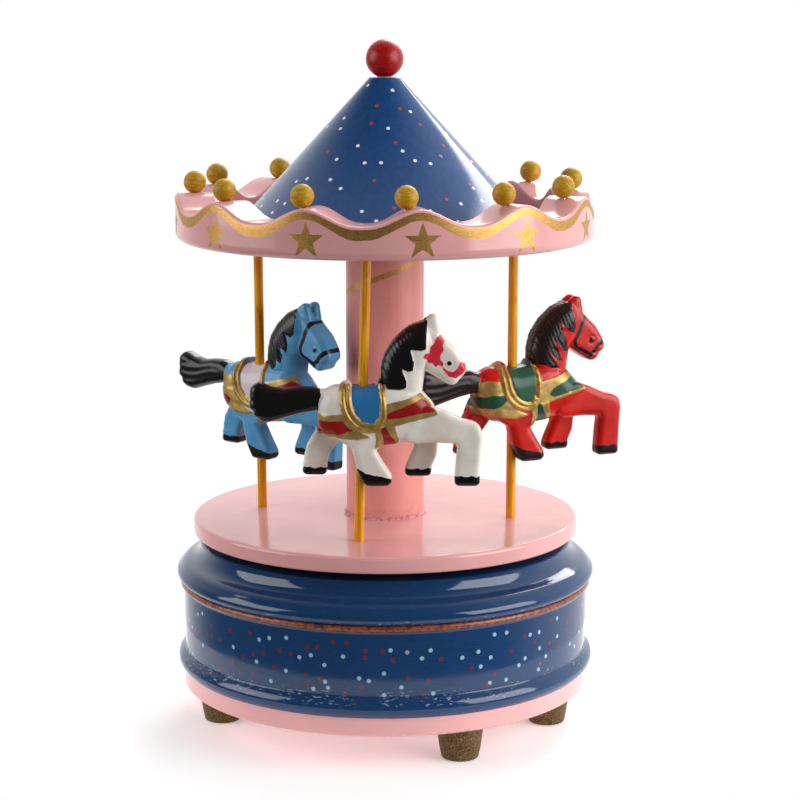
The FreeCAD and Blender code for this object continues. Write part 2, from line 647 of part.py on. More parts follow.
def build():
    nodes = {
        "bottom_plate": bottom_plate(),
        "base_shell": base_shell(),
        "plate_screws": screws(PLATE_SCREWS, plate_screw_l),
        "movement_screws": screws(MOVEMENT_SCREWS, movement_screw_l),
        "bedplate": bedplate(),
        "comb": comb(),
        "comb_screws": comb_screws(),
        "governor_frame": governor_frame(),
        "shaft_bush": shaft_bush(),
        "winding_key": winding_key(),
        "winding_arbor": winding_arbor(),
        "mainspring": mainspring(),
        "drive_shaft": disc(SHAFT_R, cover_z, shaft_top),
        "thrust_washer": thrust_washer(),
        "turntable": turntable(),
        "column": column(),
        "canopy": canopy(),
        "roof_cone": roof_cone(),
        "top_pin": disc(SHAFT_R, pin_low, pin_high),
        "top_bead": top_bead(),
        "bead_pins": bead_pins(),
        "music_cylinder": music_cylinder(),
        "worm_shaft": worm_shaft(),
        "air_brake": air_brake(),
    }
    nodes.update(feet())
    nodes.update(brackets())
    nodes.update(barrel_parts())
    nodes.update(cylinder_train())
    nodes.update(governor_train())
    for number, (x, y) in enumerate(BEAD_PLACES):
        nodes[f"crown_bead_{number + 1:02d}"] = crown_bead(x, y)
    for number, name in enumerate(POLES):
        nodes[name] = pole(number)
    for name, placing in HORSES.items():
        nodes[name] = horse(*placing)
    return nodes


for name, shape in build().items():
    if not shape.isValid() or not shape.Solids:
        raise ValueError(f"{name} is not a valid solid")
    print(f"{name:18s} solids {len(shape.Solids):2d}  volume {shape.Volume / 1000:8.3f} cm3")
    shape.exportStep(f"parts/{name}.step")
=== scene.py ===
import bmesh
import bpy
import json
import math
import numpy as np
from mathutils import Matrix, Vector, noise


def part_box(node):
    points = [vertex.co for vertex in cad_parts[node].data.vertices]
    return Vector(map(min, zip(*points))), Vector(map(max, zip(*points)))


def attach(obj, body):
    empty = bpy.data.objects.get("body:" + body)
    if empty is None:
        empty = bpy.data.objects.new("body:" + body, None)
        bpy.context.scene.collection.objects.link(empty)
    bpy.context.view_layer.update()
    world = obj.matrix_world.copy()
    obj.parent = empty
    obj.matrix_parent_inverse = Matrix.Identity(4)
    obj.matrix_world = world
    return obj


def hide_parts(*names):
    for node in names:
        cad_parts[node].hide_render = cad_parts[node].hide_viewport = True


# The looks of a wind-up carousel music box. Shapes are worked out in millimetres, in the frame's
# own axes, and become metres when a piece is finished. -Y is the front.

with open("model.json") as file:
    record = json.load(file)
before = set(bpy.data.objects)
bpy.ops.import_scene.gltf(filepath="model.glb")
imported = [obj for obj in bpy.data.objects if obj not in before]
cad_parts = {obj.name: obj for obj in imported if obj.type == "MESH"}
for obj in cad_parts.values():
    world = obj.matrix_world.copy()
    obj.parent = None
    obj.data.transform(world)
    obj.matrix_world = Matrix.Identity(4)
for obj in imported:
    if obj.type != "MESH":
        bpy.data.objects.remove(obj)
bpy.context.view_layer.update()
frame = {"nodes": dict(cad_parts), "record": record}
MM = 0.001


def span(node):
    """The lowest and highest corner of a node of the frame, in millimetres."""
    low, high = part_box(node)
    return low / MM, high / MM


def on_circle(radius, angle):
    return radius * math.cos(math.radians(angle)), radius * math.sin(math.radians(angle))


# ---- sizes read from the frame ----
shell_low, shell_high = span("base_shell")
disc_low, disc_high = span("turntable")
column_low, column_high = span("column")
canopy_low, canopy_high = span("canopy")
roof_low, roof_high = span("roof_cone")
bead_low, bead_high = span("top_bead")

SHELL_BEAD = 1.8
shell_r = shell_high.x - SHELL_BEAD
disc_r = disc_high.x
column_r = column_high.x
canopy_r = canopy_high.x
tray_floor = roof_low.z
roof_r = roof_high.x

# ---- sizes of the turned work ----
TURN_STEPS = 192
RIM_STEPS = 360
SHELL_MOUTH_R = 49.5
CAVITY_R = 47.0
BUSH_R = 6.0
SHAFT_R = 2.0
CANOPY_LIP = 10.3
WAVES = 12
WAVE_DEPTH = 4.1
WAVE_CREST = 9.5
WAVE_SHARPNESS = 1.3
ROOF_TOP_R = 4.0
POLE_R = 1.25
POLE_PITCH_R = 34.0
POLE_FIRST = -101.2
CANOPY_LEAD = 4.0
POLES = ("pole_front", "pole_right", "pole_back", "pole_left")
FEET = ("foot_left", "foot_right", "foot_front", "foot_back")
BEADS = [f"crown_bead_{number:02d}" for number in range(1, WAVES + 1)]
STAR_Z = 133.8
STAR_ANGLE = 10.0
STAR_R = 4.75
COPPER_LINE = (36.9, 38.5)
FLOOR_R = 0.11
BEAD_SUNK = 0.5
LACQUER_RELIEF = 0.048
SEAM = (0.6, 0.9)
ARC_STEPS = 6
GLUE_W = 0.75
GLUE_STEPS = 240


# ------------------------------------------------------------------ shader maths

class Wire:
    """A socket of a material's nodes. Arithmetic on it adds Math nodes, and node() adds any other."""

    def __init__(self, tree, socket):
        self.tree, self.socket = tree, socket

    def node(self, kind, settings=None, inputs=None, output=0):
        made = self.tree.nodes.new("ShaderNode" + kind)
        for key, value in (settings or {}).items():
            setattr(made, key, value)
        for key, value in (inputs or {}).items():
            if isinstance(value, Wire):
                self.tree.links.new(value.socket, made.inputs[key])
            else:
                made.inputs[key].default_value = value
        return Wire(self.tree, made.outputs[output])

    def math(self, operation, *values):
        return self.node("Math", {"operation": operation}, dict(enumerate(values)))

    def __add__(self, other):
        return self.math("ADD", self, other)

    def __sub__(self, other):
        return self.math("SUBTRACT", self, other)

    def __mul__(self, other):
        return self.math("MULTIPLY", self, other)

    def __truediv__(self, other):
        return self.math("DIVIDE", self, other)

    def __pow__(self, other):
        return self.math("POWER", self, other)

    def __rsub__(self, other):
        return self.math("SUBTRACT", other, self)

    def __rtruediv__(self, other):
        return self.math("DIVIDE", other, self)

    __radd__, __rmul__ = __add__, __mul__

    def step(self, low, high):
        """0 where this is under low, 1 over high, and smooth in between."""
        ends = {"Value": self, "From Min": low, "From Max": high}
        return self.node("MapRange", {"interpolation_type": "SMOOTHSTEP"}, ends)

    def over(self, under, colour):
        """A colour painted over another where this mask is 1."""
        return self.node("Mix", {"data_type": "RGBA"}, {0: self, 6: under, 7: colour}, 2)


def srgb(red, green, blue):
    """A linear colour from 0 to 255 values as a screen shows them."""
    linear = [c / 255 / 12.92 if c < 11 else ((c / 255 + 0.055) / 1.055) ** 2.4
              for c in (red, green, blue)]
    return (*linear, 1.0)


def darker(colour, share):
    return (*(c * share for c in colour[:3]), 1.0)


class Finish:
    """A procedural material with the places that its patterns need, in millimetres."""

    def __init__(self, name):
        self.material = bpy.data.materials.new(name)
        self.material.use_nodes = True
        self.tree = self.material.node_tree
        self.shader = self.tree.nodes["Principled BSDF"]
        start = Wire(self.tree, None)
        self.node, self.math = start.node, start.math
        place = self.node("TexCoord", output="Object")
        self.place = self.node("VectorMath", {"operation": "SCALE"}, {0: place, "Scale": 1 / MM})
        self.x, self.y, self.z = (self.node("SeparateXYZ", {}, {0: self.place}, n) for n in range(3))

    def noise(self, size, detail=3.0, stretch=(1, 1, 1)):
        """Noise from 0 to 1 whose lumps are about size millimetres across."""
        place = self.node("VectorMath", {"operation": "MULTIPLY"}, {0: self.place, 1: stretch})
        return self.node("TexNoise", {}, {"Vector": place, "Scale": 1 / size, "Detail": detail})

    def attribute(self, name):
        return self.node("Attribute", {"attribute_name": name}, output="Fac")

    def turn(self):
        """The angle about the spin axis in radians, 0 at the front and growing to the right."""
        return self.math("ARCTAN2", self.x, 0 - self.y)

    def radius(self):
        return ((self.x * self.x) + (self.y * self.y)) ** 0.5

    def link(self, value, socket):
        self.tree.links.new(value.socket, self.shader.inputs[socket])

    def bump(self, height, depth, strength=1.0):
        """Relief from a height of 0 to 1 that is depth millimetres deep."""
        inputs = {"Height": height, "Distance": depth * MM, "Strength": strength}
        self.link(self.node("Bump", {}, inputs), "Normal")

    def finish(self, colour, roughness, metallic=0.0, specular=0.35):
        """Sets the shader: wires are linked, and plain values are set on its own sockets."""
        values = {"Base Color": colour, "Roughness": roughness, "Metallic": metallic,
                  "Specular IOR Level": specular}
        for socket, value in values.items():
            if isinstance(value, Wire):
                self.link(value, socket)
            else:
                self.shader.inputs[socket].default_value = value
        return self.material


# ------------------------------------------------------------------ colours

ROYAL_BLUE = srgb(22, 62, 108)
DEEP_BLUE = srgb(19, 55, 96)
PINK = srgb(236, 172, 170)
COLUMN_PINK = srgb(232, 156, 148)
GOLD = srgb(214, 168, 96)
DARK_GOLD = srgb(176, 130, 66)
COPPER = srgb(166, 84, 44)
MUSTARD = srgb(204, 162, 20)
DARK_MUSTARD = srgb(172, 124, 12)
AMBER = srgb(240, 172, 8)
DARK_AMBER = srgb(208, 128, 8)
BEAD_RED = srgb(180, 14, 12)
DARK_RED = srgb(150, 12, 16)
PALE_DOT = srgb(152, 184, 208)
RUST_DOT = srgb(116, 38, 34)
WHITE_DOT = srgb(236, 240, 246)
BRONZE = srgb(112, 88, 50)
DARK_BRONZE = srgb(66, 48, 26)


def lacquer_sheen(finish, roughness):
    """The faint unevenness of brushed lacquer: soft waves, fine pits and dull spots."""
    waves = finish.noise(9.0, 2.0)
    pits = finish.noise(0.8, 2.0)
    finish.bump(waves * 0.8 + pits * 0.2, LACQUER_RELIEF, 0.5)
    return waves.step(0.3, 0.8) * 0.08 + pits.step(0.55, 0.8) * 0.05 + roughness


def dots(finish, across, up, cell, dot_r, low, high, share, salt=0.0):
    """Round dots scattered on a surface that is unrolled to (across, up). Returns (mask, chance)."""
    flat = finish.node("CombineXYZ", {}, {0: across / cell + salt, 1: up / cell, 2: 0.0})
    cells = {"Vector": flat, "Scale": 1.0, "Randomness": 1.0}
    kind = {"voronoi_dimensions": "2D"}
    near = finish.node("TexVoronoi", kind, cells, "Distance")
    colour = finish.node("TexVoronoi", kind, cells, "Color")
    centre = finish.node("TexVoronoi", kind, cells, "Position")
    centre_up = finish.node("SeparateXYZ", {}, {0: centre}, 1) * cell
    chance = finish.node("SeparateColor", {}, {0: colour}, 0)
    present = finish.node("SeparateColor", {}, {0: colour}, 1)
    inside = 1 - (near * cell).step(dot_r - 0.1, dot_r + 0.06)
    shown = inside * centre_up.step(low, low + 0.1) * (1 - centre_up.step(high, high + 0.1))
    off_seam = finish.math("ABSOLUTE", finish.x).step(*SEAM)
    seam = finish.y.step(0.0, 0.1) * (1 - off_seam)
    return shown * (1 - present.step(share, share + 0.01)) * (1 - seam), chance


def drum_blue():
    """Royal blue lacquer with a copper line, a belt of painted dots, and rubbed spots low down."""
    f = Finish("blue_lacquer_drum")
    across = f.turn() * shell_r
    brush = f.noise(2.0, 4.0, (1, 1, 6))
    colour = brush.step(0.3, 0.75).over(DEEP_BLUE, ROYAL_BLUE)
    mask, chance = dots(f, across, f.z, cell=3.9, dot_r=0.56, low=20.3, high=34.4, share=0.8)
    painted = chance.step(0.49, 0.5).over(PALE_DOT, RUST_DOT)
    colour = mask.over(colour, painted)
    wobble = f.noise(5.0, 2.0) * 0.5
    line = (f.z + wobble).step(COPPER_LINE[0], COPPER_LINE[0] + 0.25)
    line = line * (1 - (f.z + wobble).step(COPPER_LINE[1], COPPER_LINE[1] + 0.25))
    colour = line.over(colour, f.noise(1.2).step(0.35, 0.7).over(COPPER, srgb(92, 40, 26)))
    scrape = f.noise(0.5, 4.0, (0.35, 0.35, 1.4)).step(0.58, 0.66) * f.noise(11.0, 1.0).step(0.42, 0.56)
    low_band = f.z.step(17.5, 18.5) * (1 - f.z.step(20.5, 22.0))
    high_band = f.z.step(38.4, 38.9) * (1 - f.z.step(39.6, 40.2))
    rubbed = scrape * (low_band * 1.2 + high_band * 0.6)
    colour = rubbed.over(colour, srgb(150, 158, 168))
    roughness = lacquer_sheen(f, 0.05) + rubbed * 0.3 + line * 0.2
    return f.finish(colour, roughness, specular=0.5)


def roof_blue():
    """The same lacquer on the cone, with sparse white dots and a few copper ones."""
    f = Finish("blue_lacquer_roof")
    brush = f.noise(1.6, 4.0, (1, 1, 0.35))
    colour = brush.step(0.3, 0.75).over(srgb(24, 66, 118), srgb(28, 74, 130))
    run, rise = roof_r - ROOF_TOP_R, roof_high.z - tray_floor
    narrowing = run / math.hypot(run, rise)
    slant = f.radius() / narrowing
    fan = f.turn() * narrowing
    across = slant * f.math("SINE", fan)
    up = slant * f.math("COSINE", fan)
    mask, chance = dots(f, across, up, cell=6.4, dot_r=0.52, low=-100.0, high=100.0,
                        share=0.84, salt=3.3)
    colour = mask.over(colour, chance.step(0.66, 0.67).over(WHITE_DOT, srgb(176, 70, 44)))
    dust = f.noise(0.45, 1.0).step(0.8, 0.84) * f.noise(6.0, 1.0).step(0.5, 0.6)
    colour = (dust * 0.5).over(colour, srgb(150, 168, 190))
    return f.finish(colour, lacquer_sheen(f, 0.1), specular=0.5)


def plain_pink():
    """Pink lacquer with a faint mottle and a few specks."""
    f = Finish("pink_lacquer")
    mottled = f.noise(14.0, 3.0)
    colour = mottled.step(0.3, 0.75).over(PINK, darker(PINK, 0.93))
    specks = f.noise(0.6, 1.0).step(0.79, 0.83) * f.noise(8.0, 1.0).step(0.52, 0.62)
    colour = (specks * 0.45).over(colour, srgb(150, 92, 92))
    return f.finish(colour, lacquer_sheen(f, 0.1), specular=0.55)


def gold_leaf(f):
    """Hand-brushed gold paint: its colour, and the brush marks in it."""
    brush = f.noise(0.7, 3.0, (1, 1, 2.5))
    return brush.step(0.25, 0.75).over(DARK_GOLD, GOLD), brush


def canopy_pink():
    """Pink lacquer with a hand-painted gold line under the wavy edge, and twelve gold stars."""
    f = Finish("pink_lacquer_canopy")
    mottled = f.noise(14.0, 3.0)
    colour = mottled.step(0.3, 0.75).over(PINK, srgb(231, 165, 163))
    turn = f.math("ARCTAN2", f.y, f.x)
    wave = f.math("COSINE", (turn - math.radians(WAVE_CREST)) * WAVES)
    edge = ((wave + 1) * 0.5) ** WAVE_SHARPNESS * WAVE_DEPTH + (canopy_high.z - WAVE_DEPTH)
    below = edge - f.z
    face = f.radius().step(canopy_r - 0.75, canopy_r - 0.55)
    wobble = (f.noise(4.0, 3.0) - 0.5) * 0.7
    thick = f.noise(13.0, 1.0) * 0.8 + (1 - wave) * 0.4 + 2.1
    band = (below + wobble * 0.35).step(0.7, 0.85) * (1 - (below + wobble - thick).step(0.0, 0.12))
    pitch = math.radians(360 / WAVES)
    share = f.math("FRACT", (turn - math.radians(STAR_ANGLE)) / pitch + 0.5)
    across = (share - 0.5) * (pitch * canopy_r)
    up = f.z - STAR_Z
    reach = ((across * across) + (up * up)) ** 0.5
    point = math.radians(72)
    turned_in = f.math("ARCTAN2", across, up) / point + 0.5
    folded = f.math("FRACT", turned_in) - 0.5
    folded = f.math("ABSOLUTE", folded) * point
    inner_r = STAR_R * 0.4
    inner_x, inner_y = inner_r * math.cos(point / 2), inner_r * math.sin(point / 2)
    star_x = reach * f.math("COSINE", folded)
    star_y = reach * f.math("SINE", folded)
    inside = (STAR_R - star_x) * inner_y - star_y * (STAR_R - inner_x)
    star = (inside + (f.noise(0.8, 2.0) - 0.5) * 0.5).step(-0.15, 0.15)
    gold = face * f.math("MAXIMUM", band, star)
    gilt, brush = gold_leaf(f)
    colour = gold.over(colour, gilt)
    specks = f.noise(0.5, 1.0).step(0.78, 0.82) * f.noise(7.0, 1.0).step(0.5, 0.6)
    colour = (specks * 0.4).over(colour, srgb(140, 84, 84))
    roughness = lacquer_sheen(f, 0.12) * (1 - gold) + gold * (brush * 0.2 + 0.32)
    return f.finish(colour, roughness, gold * 0.85, specular=0.5)


def column_pink():
    """Duller pink with a gold stroke that climbs once round the column, and blotchy darker pink over its
    lowest 5 mm.
    """
    f = Finish("pink_lacquer_column")
    mottled = f.noise(7.0, 4.0, (1, 1, 0.5))
    colour = mottled.step(0.3, 0.7).over(COLUMN_PINK, srgb(224, 147, 140))
    wobble = (f.noise(2.5, 3.0) - 0.5) * 0.7
    line = f.z - (f.turn() * (math.degrees(1) / 15.0) + 120.0) + wobble
    stroke = line.step(-0.8, -0.62) * (1 - line.step(0.62, 0.8))
    gilt, brush = gold_leaf(f)
    colour = stroke.over(colour, gilt)
    specks = f.noise(0.55, 1.0).step(0.76, 0.8) * f.noise(6.0, 1.0).step(0.48, 0.6)
    colour = (specks * 0.5).over(colour, srgb(120, 66, 62))
    # Blotches of darker pink over the lowest 5 mm of the column, where it stands on the disc.
    darker_foot = (1 - f.z.step(column_low.z, column_low.z + 5)) * f.noise(2.0).step(0.4, 0.8)
    colour = (darker_foot * 0.35).over(colour, srgb(160, 92, 88))
    f.bump(mottled * 0.6 + f.noise(0.7) * 0.4, 0.06, 0.6)
    return f.finish(colour, stroke * 0.1 + mottled * 0.15 + 0.28, stroke * 0.4)


def bronze_feet():
    """Antique bronze paint with coarse bright and dark speckle."""
    f = Finish("bronze_paint")
    speckle = f.noise(0.42, 3.0)
    colour = speckle.step(0.36, 0.62).over(DARK_BRONZE, BRONZE)
    colour = f.noise(0.6, 2.0).step(0.66, 0.72).over(colour, srgb(176, 146, 92))
    f.bump(speckle, 0.12, 0.8)
    return f.finish(colour, speckle * 0.3 + 0.34, 0.35)


def stained_bead(name, bright, dark, roughness):
    """Stained wood with grain rings that show faintly."""
    f = Finish(name)
    grain = f.noise(1.5, 5.0, (1, 1, 3.5))
    pores = f.noise(0.3, 2.0, (1, 1, 0.25))
    colour = grain.step(0.3, 0.72).over(dark, bright)
    colour = (pores.step(0.62, 0.75) * 0.5).over(colour, dark)
    f.bump(grain * 0.5 + pores * 0.5, 0.05, 0.7)
    return f.finish(colour, pores * 0.25 + roughness)


def amber_rods():
    """Amber-stained birch rod: long streaks, a few brown flecks, under thin lacquer."""
    f = Finish("amber_rod")
    streaks = f.noise(0.7, 4.0, (1, 1, 0.05))
    flecks = f.noise(0.5, 2.0, (1, 1, 0.12))
    colour = streaks.step(0.3, 0.68).over(DARK_AMBER, AMBER)
    colour = (flecks.step(0.66, 0.74) * 0.7).over(colour, srgb(120, 66, 14))
    f.bump(streaks, 0.05, 0.8)
    return f.finish(colour, streaks * 0.2 + 0.22)


def metal(name, colour, roughness, grain=(1, 1, 1), size=0.6, metallic=1.0):
    """A worked metal or plain material with tool marks that follow the given stretch."""
    f = Finish(name)
    marks = f.noise(size, 4.0, grain)
    tarnish = f.noise(size * 12, 3.0)
    shade = (tarnish.step(0.35, 0.75) * 0.7).over(colour, darker(colour, 0.68))
    f.bump(marks, 0.02, 0.6)
    return f.finish(shade, marks * 0.15 + tarnish * 0.12 + roughness, metallic)


def glue_ring():
    """Dried glue tinted by the pink paint around it."""
    f = Finish("dried_glue")
    lumps = f.noise(0.9, 3.0)
    colour = lumps.step(0.35, 0.7).over(srgb(190, 118, 116), srgb(228, 168, 168))
    f.bump(lumps, 0.2)
    return f.finish(colour, lumps * 0.3 + 0.25)


# ------------------------------------------------------------------ pieces

def curve_through(start, middle, end):
    """Points of the arc through three points, without its start."""
    (ax, ay), (bx, by), (cx, cy) = start, middle, end
    d = 2 * (ax * (by - cy) + bx * (cy - ay) + cx * (ay - by))
    a2, b2, c2 = ax * ax + ay * ay, bx * bx + by * by, cx * cx + cy * cy
    ux = (a2 * (by - cy) + b2 * (cy - ay) + c2 * (ay - by)) / d
    uy = (a2 * (cx - bx) + b2 * (ax - cx) + c2 * (bx - ax)) / d
    radius = math.hypot(ax - ux, ay - uy)
    first, mid, last = (math.atan2(y - uy, x - ux) for x, y in (start, middle, end))
    sweep = (last - first) % math.tau
    if (mid - first) % math.tau > sweep:
        sweep -= math.tau
    angles = [first + sweep * n / ARC_STEPS for n in range(1, ARC_STEPS + 1)]
    return [(ux + radius * math.cos(a), uy + radius * math.sin(a)) for a in angles]


def flattened(outline):
    """An outline's points with its arcs divided. A point is (a, b) or ("arc", middle, end)."""
    points = []
    for point in outline:
        points += curve_through(points[-1], point[1], point[2]) if point[0] == "arc" else [point]
    return points


def lathe(outline, steps=TURN_STEPS):
    """A piece turned about the spin axis from an outline of (radius, height)."""
    bm = bmesh.new()
    verts = [bm.verts.new((r, 0, z)) for r, z in flattened(outline)]
    edges = [bm.edges.new(pair) for pair in zip(verts, verts[1:] + verts[:1])]
    bmesh.ops.spin(bm, geom=verts + edges, cent=(0, 0, 0), axis=(0, 0, 1),
                   angle=math.tau, steps=steps, use_merge=True)
    bmesh.ops.remove_doubles(bm, verts=bm.verts, dist=1e-4)
    bmesh.ops.recalc_face_normals(bm, faces=bm.faces)
    return bm


def put(bm, name, material, body, slot, *replaced, crease=35.0):
    """Makes a bmesh in millimetres into a finished piece of the model."""
    bmesh.ops.scale(bm, vec=(MM, MM, MM), verts=bm.verts)
    mesh = bpy.data.meshes.new(name)
    bm.to_mesh(mesh)
    bm.free()
    return put_mesh(mesh, name, material, body, slot, *replaced, crease=crease)


def put_mesh(mesh, name, material, body, slot, *replaced, crease=35.0):
    mesh.polygons.foreach_set("use_smooth", [True] * len(mesh.polygons))
    if crease:
        mesh.set_sharp_from_angle(angle=math.radians(crease))
    piece = bpy.data.objects.new(name, mesh)
    bpy.context.scene.collection.objects.link(piece)
    mesh.materials.append(material)
    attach(piece, body)
    if replaced:
        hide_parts(*replaced)
    return piece


def turned_base():
    r, bead, z = shell_r, SHELL_BEAD, shell_low.z
    top, ceiling = shell_high.z, shell_high.z - 4.2
    put(lathe([
        (CAVITY_R, z), (r + 0.5, z),
        ("arc", (r + bead, z + 2.0), (r + 0.2, z + 5.0)),
        ("arc", (r + 0.02, z + 5.3), (r, z + 5.7)), (r, z + 21.2),
        ("arc", (r + 0.3, z + 22.1), (r + 0.9, z + 22.5)),
        ("arc", (r + 0.95, z + 23.2), (r + 0.4, z + 23.8)),
        ("arc", (r + bead, z + 25.2), (r + 0.9, z + 27.4)),
        ("arc", (r - 0.1, z + 28.5), (r - 1.3, z + 29.1)),
        ("arc", (r - 3.6, z + 30.6), (SHELL_MOUTH_R, top - 0.3)),
        (SHELL_MOUTH_R - 0.4, top), (BUSH_R, top),
        (BUSH_R, ceiling), (CAVITY_R - 1.5, ceiling),
        ("arc", (CAVITY_R - 0.44, ceiling - 0.44), (CAVITY_R, ceiling - 1.5))]),
        "base_drum", drum_blue(), "base", "blue_lacquer", "base_shell")


def turned_disc(pink):
    low, high, r, edge = disc_low.z, disc_high.z, disc_r, 0.9
    cut = 0.27 * edge
    put(lathe([
        (SHAFT_R, low), (r - edge, low), ("arc", (r - cut, low + cut), (r, low + edge)),
        (r, high - edge), ("arc", (r - cut, high - cut), (r - edge, high)),
        (SHAFT_R, high)]), "turntable_disc", pink, "carousel", "pink_lacquer", "turntable")


def turned_column():
    low, high, r = column_low.z, column_high.z, column_r
    put(lathe([
        (SHAFT_R, low), (r, low), (r, high), (SHAFT_R, high)]),
        "centre_column", column_pink(), "carousel", "pink_lacquer", "column")
    bm = lathe([
        (r - 0.2, low - 0.05), (r + GLUE_W, low - 0.05),
        ("arc", (r + 0.45, low + 0.4), (r - 0.2, low + GLUE_W))], GLUE_STEPS)
    for vert in bm.verts:
        lump = noise.noise(vert.co * 0.9) + 0.5 * noise.noise(vert.co * 2.3)
        out = Vector((vert.co.x, vert.co.y, 0)).normalized()
        vert.co += out * lump * 0.45 * max(0, vert.co.xy.length - r) / GLUE_W
        vert.co.z += max(0.0, vert.co.z - low) * lump * 0.8
    put(bm, "column_glue", glue_ring(), "carousel", "pink_lacquer", crease=60)


def wave_drop(angle):
    """How far the canopy's edge is under its crests at an angle in radians."""
    wave = (1 + math.cos(WAVES * (angle - math.radians(WAVE_CREST)))) / 2
    return WAVE_DEPTH * (1 - wave ** WAVE_SHARPNESS)


def turned_canopy():
    low, high, rim, floor = canopy_low.z, canopy_high.z, canopy_r, tray_floor
    inner = rim - CANOPY_LIP
    bm = lathe([
        (SHAFT_R, low), (rim - 1.8, low), ("arc", (rim - 0.5, low + 0.7), (rim, low + 2.4)),
        (rim, floor + 0.2), (rim, high - 0.8), ("arc", (rim - 0.23, high - 0.23), (rim - 0.8, high)),
        (rim - CANOPY_LIP * 0.5, high), (inner + 0.7, high),
        ("arc", (inner + 0.2, high - 0.2), (inner, high - 0.7)),
        (inner, floor + 0.2), (inner, floor), (SHAFT_R, floor)], RIM_STEPS)
    for vert in bm.verts:
        if vert.co.z > high - 1.0:
            vert.co.z -= wave_drop(math.atan2(vert.co.y, vert.co.x))
    put(bm, "wavy_canopy", canopy_pink(), "carousel", "pink_lacquer", "canopy")


def turned_roof():
    low, high, r, top = roof_low.z, roof_high.z, roof_r, ROOF_TOP_R
    outline = [
        (SHAFT_R, low), (r - 0.3, low), ("arc", (r, low + 0.3), (r - 0.3, low + 0.8)),
        (top + 0.3, high - 0.4), ("arc", (top + 0.1, high - 0.1), (top - 0.4, high)), (SHAFT_R, high)]
    put(lathe(outline), "roof_cone_skin", roof_blue(), "carousel", "blue_lacquer", "roof_cone")


def turned_beads(mustard, red):
    """Wooden beads with flattened, slightly bored ends, each a little out of round."""
    for number, name in enumerate(BEADS):
        low, high = span(name)
        centre, r = (low + high) / 2 - Vector((0, 0, BEAD_SUNK)), (high.z - low.z) / 2
        put_bead(name + "_wood", centre, r, mustard, "mustard_bead", name, number + 1.0)
    centre = Vector((0, 0, bead_high.z - (bead_high.x - bead_low.x) / 2))
    put_bead("red_top_bead", centre, bead_high.x, red, "red_bead", "top_bead", 20.0)


def put_bead(name, centre, r, material, slot, replaced, seed):
    flat = r * 0.985
    hole = math.sqrt(r * r - flat * flat)
    bm = lathe([(0.0, -flat), (hole, -flat), ("arc", (r * 0.7071, -r * 0.7071), (r, 0.0)),
                ("arc", (r * 0.7071, r * 0.7071), (hole * 0.8, r)), (0.0, r * 0.995)], 48)
    for vert in bm.verts:
        vert.co *= 1 - 0.012 * (1 + noise.noise(vert.co / r * 1.3 + Vector((seed * 7, 0, 0))))
    bmesh.ops.rotate(bm, cent=(0, 0, 0), matrix=Matrix.Rotation(seed * 1.7, 3, "Z"), verts=bm.verts)
    bmesh.ops.translate(bm, vec=centre, verts=bm.verts)
    put(bm, name, material, "carousel", slot, replaced, crease=60)


def pole_line(number):
    low, high = span(POLES[number])
    foot = Vector((*on_circle(POLE_PITCH_R, POLE_FIRST + 90 * number), low.z))
    head = Vector((*on_circle(POLE_PITCH_R, POLE_FIRST + 90 * number + CANOPY_LEAD), high.z))
    return foot, head


def pole_rod(number, radius, segments=40):
    """A rod along a pole's line."""
    foot, head = pole_line(number)
    way = (head - foot).normalized()
    bm = bmesh.new()
    bmesh.ops.create_cone(bm, cap_ends=True, segments=segments, radius1=radius, radius2=radius,
                          depth=(head - foot).length)
    turn = Vector((0, 0, 1)).rotation_difference(way).to_matrix()
    bmesh.ops.rotate(bm, cent=(0, 0, 0), matrix=turn, verts=bm.verts)
    bmesh.ops.translate(bm, vec=(foot + head) / 2, verts=bm.verts)
    return bm


def poles(amber):
    for number, name in enumerate(POLES):
        bm = pole_rod(number, POLE_R)
        foot, head = pole_line(number)
        long_edges = [e for e in bm.edges if abs(e.verts[0].co.z - e.verts[1].co.z) > 10]
        bmesh.ops.subdivide_edges(bm, edges=long_edges, cuts=40)
        for vert in bm.verts:
            along = (vert.co.z - foot.z) / (head.z - foot.z)
            middle = foot.lerp(head, along)
            vert.co = middle + (vert.co - middle) * (1 - 0.015 * (1 + noise.noise(vert.co * 0.11)))
        put(bm, name + "_rod", amber, "carousel", "amber_rod", name, crease=60)


def turned_feet(bronze):
    for name in FEET:
        low, high = span(name)
        centre, r, h = (low + high) / 2, (high.x - low.x) / 2, high.z - low.z
        tip = r - 1.0
        bm = lathe([(0, 0), (tip - 0.9, 0), ("arc", (tip - 0.26, 0.26), (tip, 0.9)),
                    ("arc", (r - 0.25, h * 0.55), (r, h * 0.8)), (r - 0.1, h), (0, h)], 96)
        bmesh.ops.translate(bm, vec=(centre.x, centre.y, low.z), verts=bm.verts)
        put(bm, name + "_knob", bronze, "base", "bronze_paint", name)


# ------------------------------------------------------------------ horses
# A horse's own outlines have x forward from its pole, y to its left, and z up from its hooves.

CUT_OUT_VOXEL = 0.4
BLANK_VOXEL = 0.3
CORNER_CUTS = 3
SKIN = 0.15
OUTLINE_GROWTH = 0.28
HOOF_LIFT = 0.35
SADDLE_Z = 18.0
BORE_GAP = 0.05
BARE = -9.0

